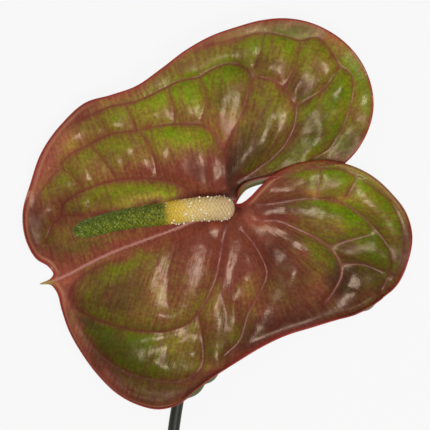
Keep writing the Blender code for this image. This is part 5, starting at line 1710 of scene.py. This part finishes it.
# %% Spadix materials
def ripening_spike():
    """The florets: ripeness, painted shade on the top, seams, spots, flecks and specks."""
    spike = Recipe("ripening_spike")
    uv = spike.node("ShaderNodeUVMap", uv_map="florets").outputs["UV"]
    split = spike.node("ShaderNodeSeparateXYZ", {0: uv})
    turn, row = split.outputs["X"], split.outputs["Y"]
    from_middle = from_floret_middle(spike, turn, row)
    uneven = spike.fade(spike.noise(1.8, 2), 0.35, 0.6, 0.3, 1.0)
    seam = spike.times(spike.fade(from_middle, 0.34, 0.5), uneven)
    stigma = spike.fade(from_middle, 0.08, 0.17, 1.0, 0.0)
    colour, green = ripeness(spike, row)
    round_turn = spike.times(turn, 2 * math.pi / FLORETS_ROUND)
    # Painted shade on the spike's top side, laid on its green part below.
    painted_top_shade = spike.fade(spike.math("COSINE", round_turn), -0.5, 0.7)
    blotch = spike.fade(spike.noise(1.6, 2), 0.35, 0.65)
    dotted = spike.fade(spike.noise(1.1, 1), 0.5, 0.62, 0.15, 0.8)
    fleck = spike.fade(spike.noise(0.9, 1), 0.6, 0.7)
    speck = spike.fade(spike.noise(0.6, 1), 0.62, 0.7)
    unripe_speck = spike.math("SUBTRACT", speck, green, clamp=True)
    deep = spike.mix(green, paint(176, 140, 92), paint(36, 52, 8))
    pale = spike.mix(green, paint(236, 224, 190), paint(158, 168, 84))
    for cover, share, over in (
        (spike.times(painted_top_shade, green), 0.5, paint(66, 82, 30)),
        (seam, 0.55, deep),
        (spike.times(blotch, green), 0.75, paint(48, 64, 6)),
        (spike.times(stigma, dotted), 1.0, pale),
        (spike.times(fleck, green), 0.5, paint(160, 166, 104)),
        (unripe_speck, 0.7, paint(140, 104, 62)),
    ):
        colour = spike.mix(spike.times(cover, share), colour, over)
    relief = spike.bump(spike.times(stigma, 0.5), 0.12)
    relief = spike.bump(spike.noise(0.5, 2), 0.05, relief)
    return spike.finish(
        Base_Color=colour, Roughness=0.45, Normal=relief, Specular_IOR_Level=0.3,
        Specular_Tint=(1.0, 0.95, 0.7, 1),
    )


def milky_bead():
    """A drop of nectar, milky white."""
    bead = Recipe("milky_bead")
    colour = bead.mix(bead.noise(0.6), paint(252, 250, 244), paint(240, 232, 212))
    return bead.finish(Base_Color=colour, Roughness=0.3)


spadix.data.materials.append(ripening_spike())
nectar.data.materials.append(milky_bead())
print("spadix materials:", spadix.data.materials[0].name, nectar.data.materials[0].name)

# %% [markdown]
# ## The stem
#
# The stem bends down out of the heart and then lies along the surface, so its middle line
# stays one radius above it. It is a tube with very fine ridges that thickens towards its
# foot, which is cut square and shows the paler inside. A curve with a round section would
# make the tube in one step, but its section has no ridges and can't be cut level under the
# heart. So a ring of points is extruded along the middle line and moved at each step.

# %% Measures of the stem
STEM_TOP_RADIUS = 2.1
STEM_CUT_RADIUS = 3.0
GAP = 0.3  # between the stem's top and the underside of the heart
NECK_LINE = [
    (-0.3, -0.3, 8.9), (-0.9, -2.2, 6.8), (-1.9, -5, 4.8), (-3.4, -9.2, 3.3), (-5.6, -16, 2.35),
    (-8.6, -25, 2.04),
]
SHANK_LINE = [
    (-8.6, -25), (-15.2, -45), (-20.2, -63), (-23.6, -80), (-27, -105), (-33, -150), (-40, -210),
    (-45, -270), (-47.5, -333),
]
STEM_SIDES = 48
STEM_RIDGES = 16
RIDGE_DEPTH = 0.012  # half of it, as a share of the radius
NECK_STEP = 0.8  # spacing of the rings
SHANK_STEP = 2.5


# %% Stem shape
def make_stem():
    """The tube from under the heart to the square cut."""
    neck = smooth_line(NECK_LINE, NECK_STEP)
    shank = smooth_line(SHANK_LINE, SHANK_STEP)[1:]
    plan = np.vstack([neck[:, :2], shank])
    walked = walk(plan)
    radius = STEM_TOP_RADIUS + (STEM_CUT_RADIUS - STEM_TOP_RADIUS) * walked / walked[-1]
    height = radius.copy()
    height[: len(neck)] = np.maximum(neck[:, 2], radius[: len(neck)])
    line = np.column_stack([plan, height])
    side, upward = across(line)
    tube = bmesh.new()
    start = bmesh.ops.create_circle(tube, cap_ends=False, segments=STEM_SIDES, radius=1)
    ring = start["verts"]
    angle = np.array([math.atan2(v.co.y, v.co.x) for v in ring])
    ridge = 1 - RIDGE_DEPTH * (1 - np.cos(angle * STEM_RIDGES))
    for n in range(len(line)):
        if n:
            ring = extrude_row(tube, ring)
        for k, vert in enumerate(ring):
            out = side[n] * math.cos(angle[k]) + upward[n] * math.sin(angle[k])
            vert.co = line[n] + out * radius[n] * ridge[k]
            if n == 0:
                vert.co.z = SEAT_HEIGHT - GAP
    rim = [e for e in tube.edges if e.is_boundary]
    made = bmesh.ops.holes_fill(tube, edges=rim)
    for face in made["faces"]:
        face.material_index = 1
    bmesh.ops.recalc_face_normals(tube, faces=tube.faces[:])
    print("stem:", len(tube.faces), "faces, length", round(walked[-1], 1), "mm")
    return tube


stem = place_piece(make_stem(), "smooth_stem", "peduncle")

# %% [markdown]
# ## The finish of the stem
#
# The stem is dark olive and dull, almost black under the flower and greener towards the cut.
# Fibres run along it and show as faint streaks. The cut is pale and porous. Noise that is
# stretched along the stem makes the streaks, which is simpler than drawing fibres and needs
# no map, because the stem runs nearly straight along the frame's long side.

# %% Stem materials
DARK_ABOVE = 0.03  # metres along the frame's Y, where the dark part of the stem ends
GREEN_BELOW = -0.16  # and where the green part begins


def dark_stem():
    """The stem's skin."""
    skin = Recipe("dark_stem")
    streak = skin.noise(1.2, 3, stretch=(1, 0.06, 1))
    dark = skin.mix(streak, paint(28, 27, 20), paint(42, 42, 29))
    green = skin.mix(streak, paint(52, 58, 30), paint(78, 84, 44))
    top = skin.node("ShaderNodeSeparateXYZ", {0: skin.place}).outputs["Y"]
    colour = skin.mix(skin.fade(top, DARK_ABOVE, GREEN_BELOW), dark, green)
    relief = skin.bump(skin.noise(0.6, 3, stretch=(1, 0.1, 1)), 0.05)
    return skin.finish(Base_Color=colour, Roughness=0.55, Normal=relief)


def cut_end():
    """The square cut at the stem's foot."""
    cut = Recipe("cut_end")
    pores = cut.noise(0.5, 2)
    colour = cut.mix(pores, paint(176, 178, 120), paint(206, 200, 150))
    return cut.finish(Base_Color=colour, Roughness=0.7, Normal=cut.bump(pores, 0.1))


for stem_material in (dark_stem(), cut_end()):
    stem.data.materials.append(stem_material)
stem.data.set_sharp_from_angle(angle=math.radians(60))
print("stem materials:", [m.name for m in stem.data.materials])

# %% [markdown]
# ## Table, light and camera
#
# The flower lies face up on a white table that is lit from within, as for a catalogue
# picture, so its shadow stays faint. One large soft light hangs near the camera, to the
# lower right, and draws the broad sheen on each blister. A small hard lamp would draw hard
# white dots there instead. Two broader soft lights, which are kept out of the gloss, and a
# faint pale room fill in the rest. The camera looks straight down through a long lens, as it
# did for the photograph.

# %% Table
TABLE_HALF = 1.5  # metres
TABLE_DROP = 0.0002  # the table's face stays this far below the flower
TABLE_GLOW = 0.897


def make_table():
    """A flat white sheet that belongs to the picture, not to the flower."""
    top = bmesh.new()
    bmesh.ops.create_grid(top, x_segments=1, y_segments=1, size=TABLE_HALF)
    bmesh.ops.translate(top, verts=top.verts[:], vec=(0, 0, -TABLE_DROP))
    table = as_object(top, "white_table")
    return table


table = make_table()
board = Recipe("glowing_board")
table.data.materials.append(board.finish(
    Base_Color=(0.04, 0.04, 0.04, 1), Roughness=0.9, Specular_IOR_Level=0.0,
    Emission_Color=(1, 1, 1, 1), Emission_Strength=TABLE_GLOW,
))
print("table:", 2 * TABLE_HALF, "metres wide")

# %% Light
VIEW_MIDDLE = Vector((-0.8, 125.7, 12.0)) * METRES
ROOM_GLOW = 0.14
# Name, place from the view's middle and size in metres, watts, whether the gloss shows it.
LIGHTS = [
    ("main_softbox", (0.20, -0.19, 0.77), 0.30, 3.8, True),
    ("fill_softbox", (-0.5, 0.5, 0.7), 1.5, 3.5, False),
    ("top_softbox", (-0.1, 0.1, 0.9), 1.5, 4.4, False),
]
scene = bpy.context.scene
scene.view_settings.view_transform = "Standard"
world = bpy.data.worlds.new("pale_room")
scene.world = world
world.use_nodes = True
surroundings = world.node_tree.nodes["Background"]
surroundings.inputs["Color"].default_value = (1, 1, 1, 1)
surroundings.inputs["Strength"].default_value = ROOM_GLOW


def soft_light(name, place, size, power, in_gloss):
    """A square soft light that looks at the middle of the flower."""
    lamp = bpy.data.lights.new(name, "AREA")
    lamp.shape = "SQUARE"
    lamp.size = size
    lamp.energy = power
    holder = bpy.data.objects.new(name, lamp)
    scene.collection.objects.link(holder)
    holder.location = VIEW_MIDDLE + Vector(place)
    holder.rotation_euler = (-Vector(place)).to_track_quat("-Z", "Y").to_euler()
    holder.visible_camera = False
    holder.visible_glossy = in_gloss


for row in LIGHTS:
    soft_light(*row)
print("lights:", [row[0] for row in LIGHTS])

# %% Camera
CAMERA_DISTANCE = 2.0  # metres
VIEW_WIDTH = 0.172  # what the photograph spans at the flower
SENSOR = 36.0
lens = bpy.data.cameras.new("camera")
lens.sensor_width = SENSOR
lens.lens = SENSOR * CAMERA_DISTANCE / VIEW_WIDTH
lens.clip_end = 20
camera = bpy.data.objects.new("camera", lens)
scene.collection.objects.link(camera)
camera.location = VIEW_MIDDLE + Vector((0, 0, CAMERA_DISTANCE))
scene.camera = camera
print("lens, mm:", round(lens.lens, 1))
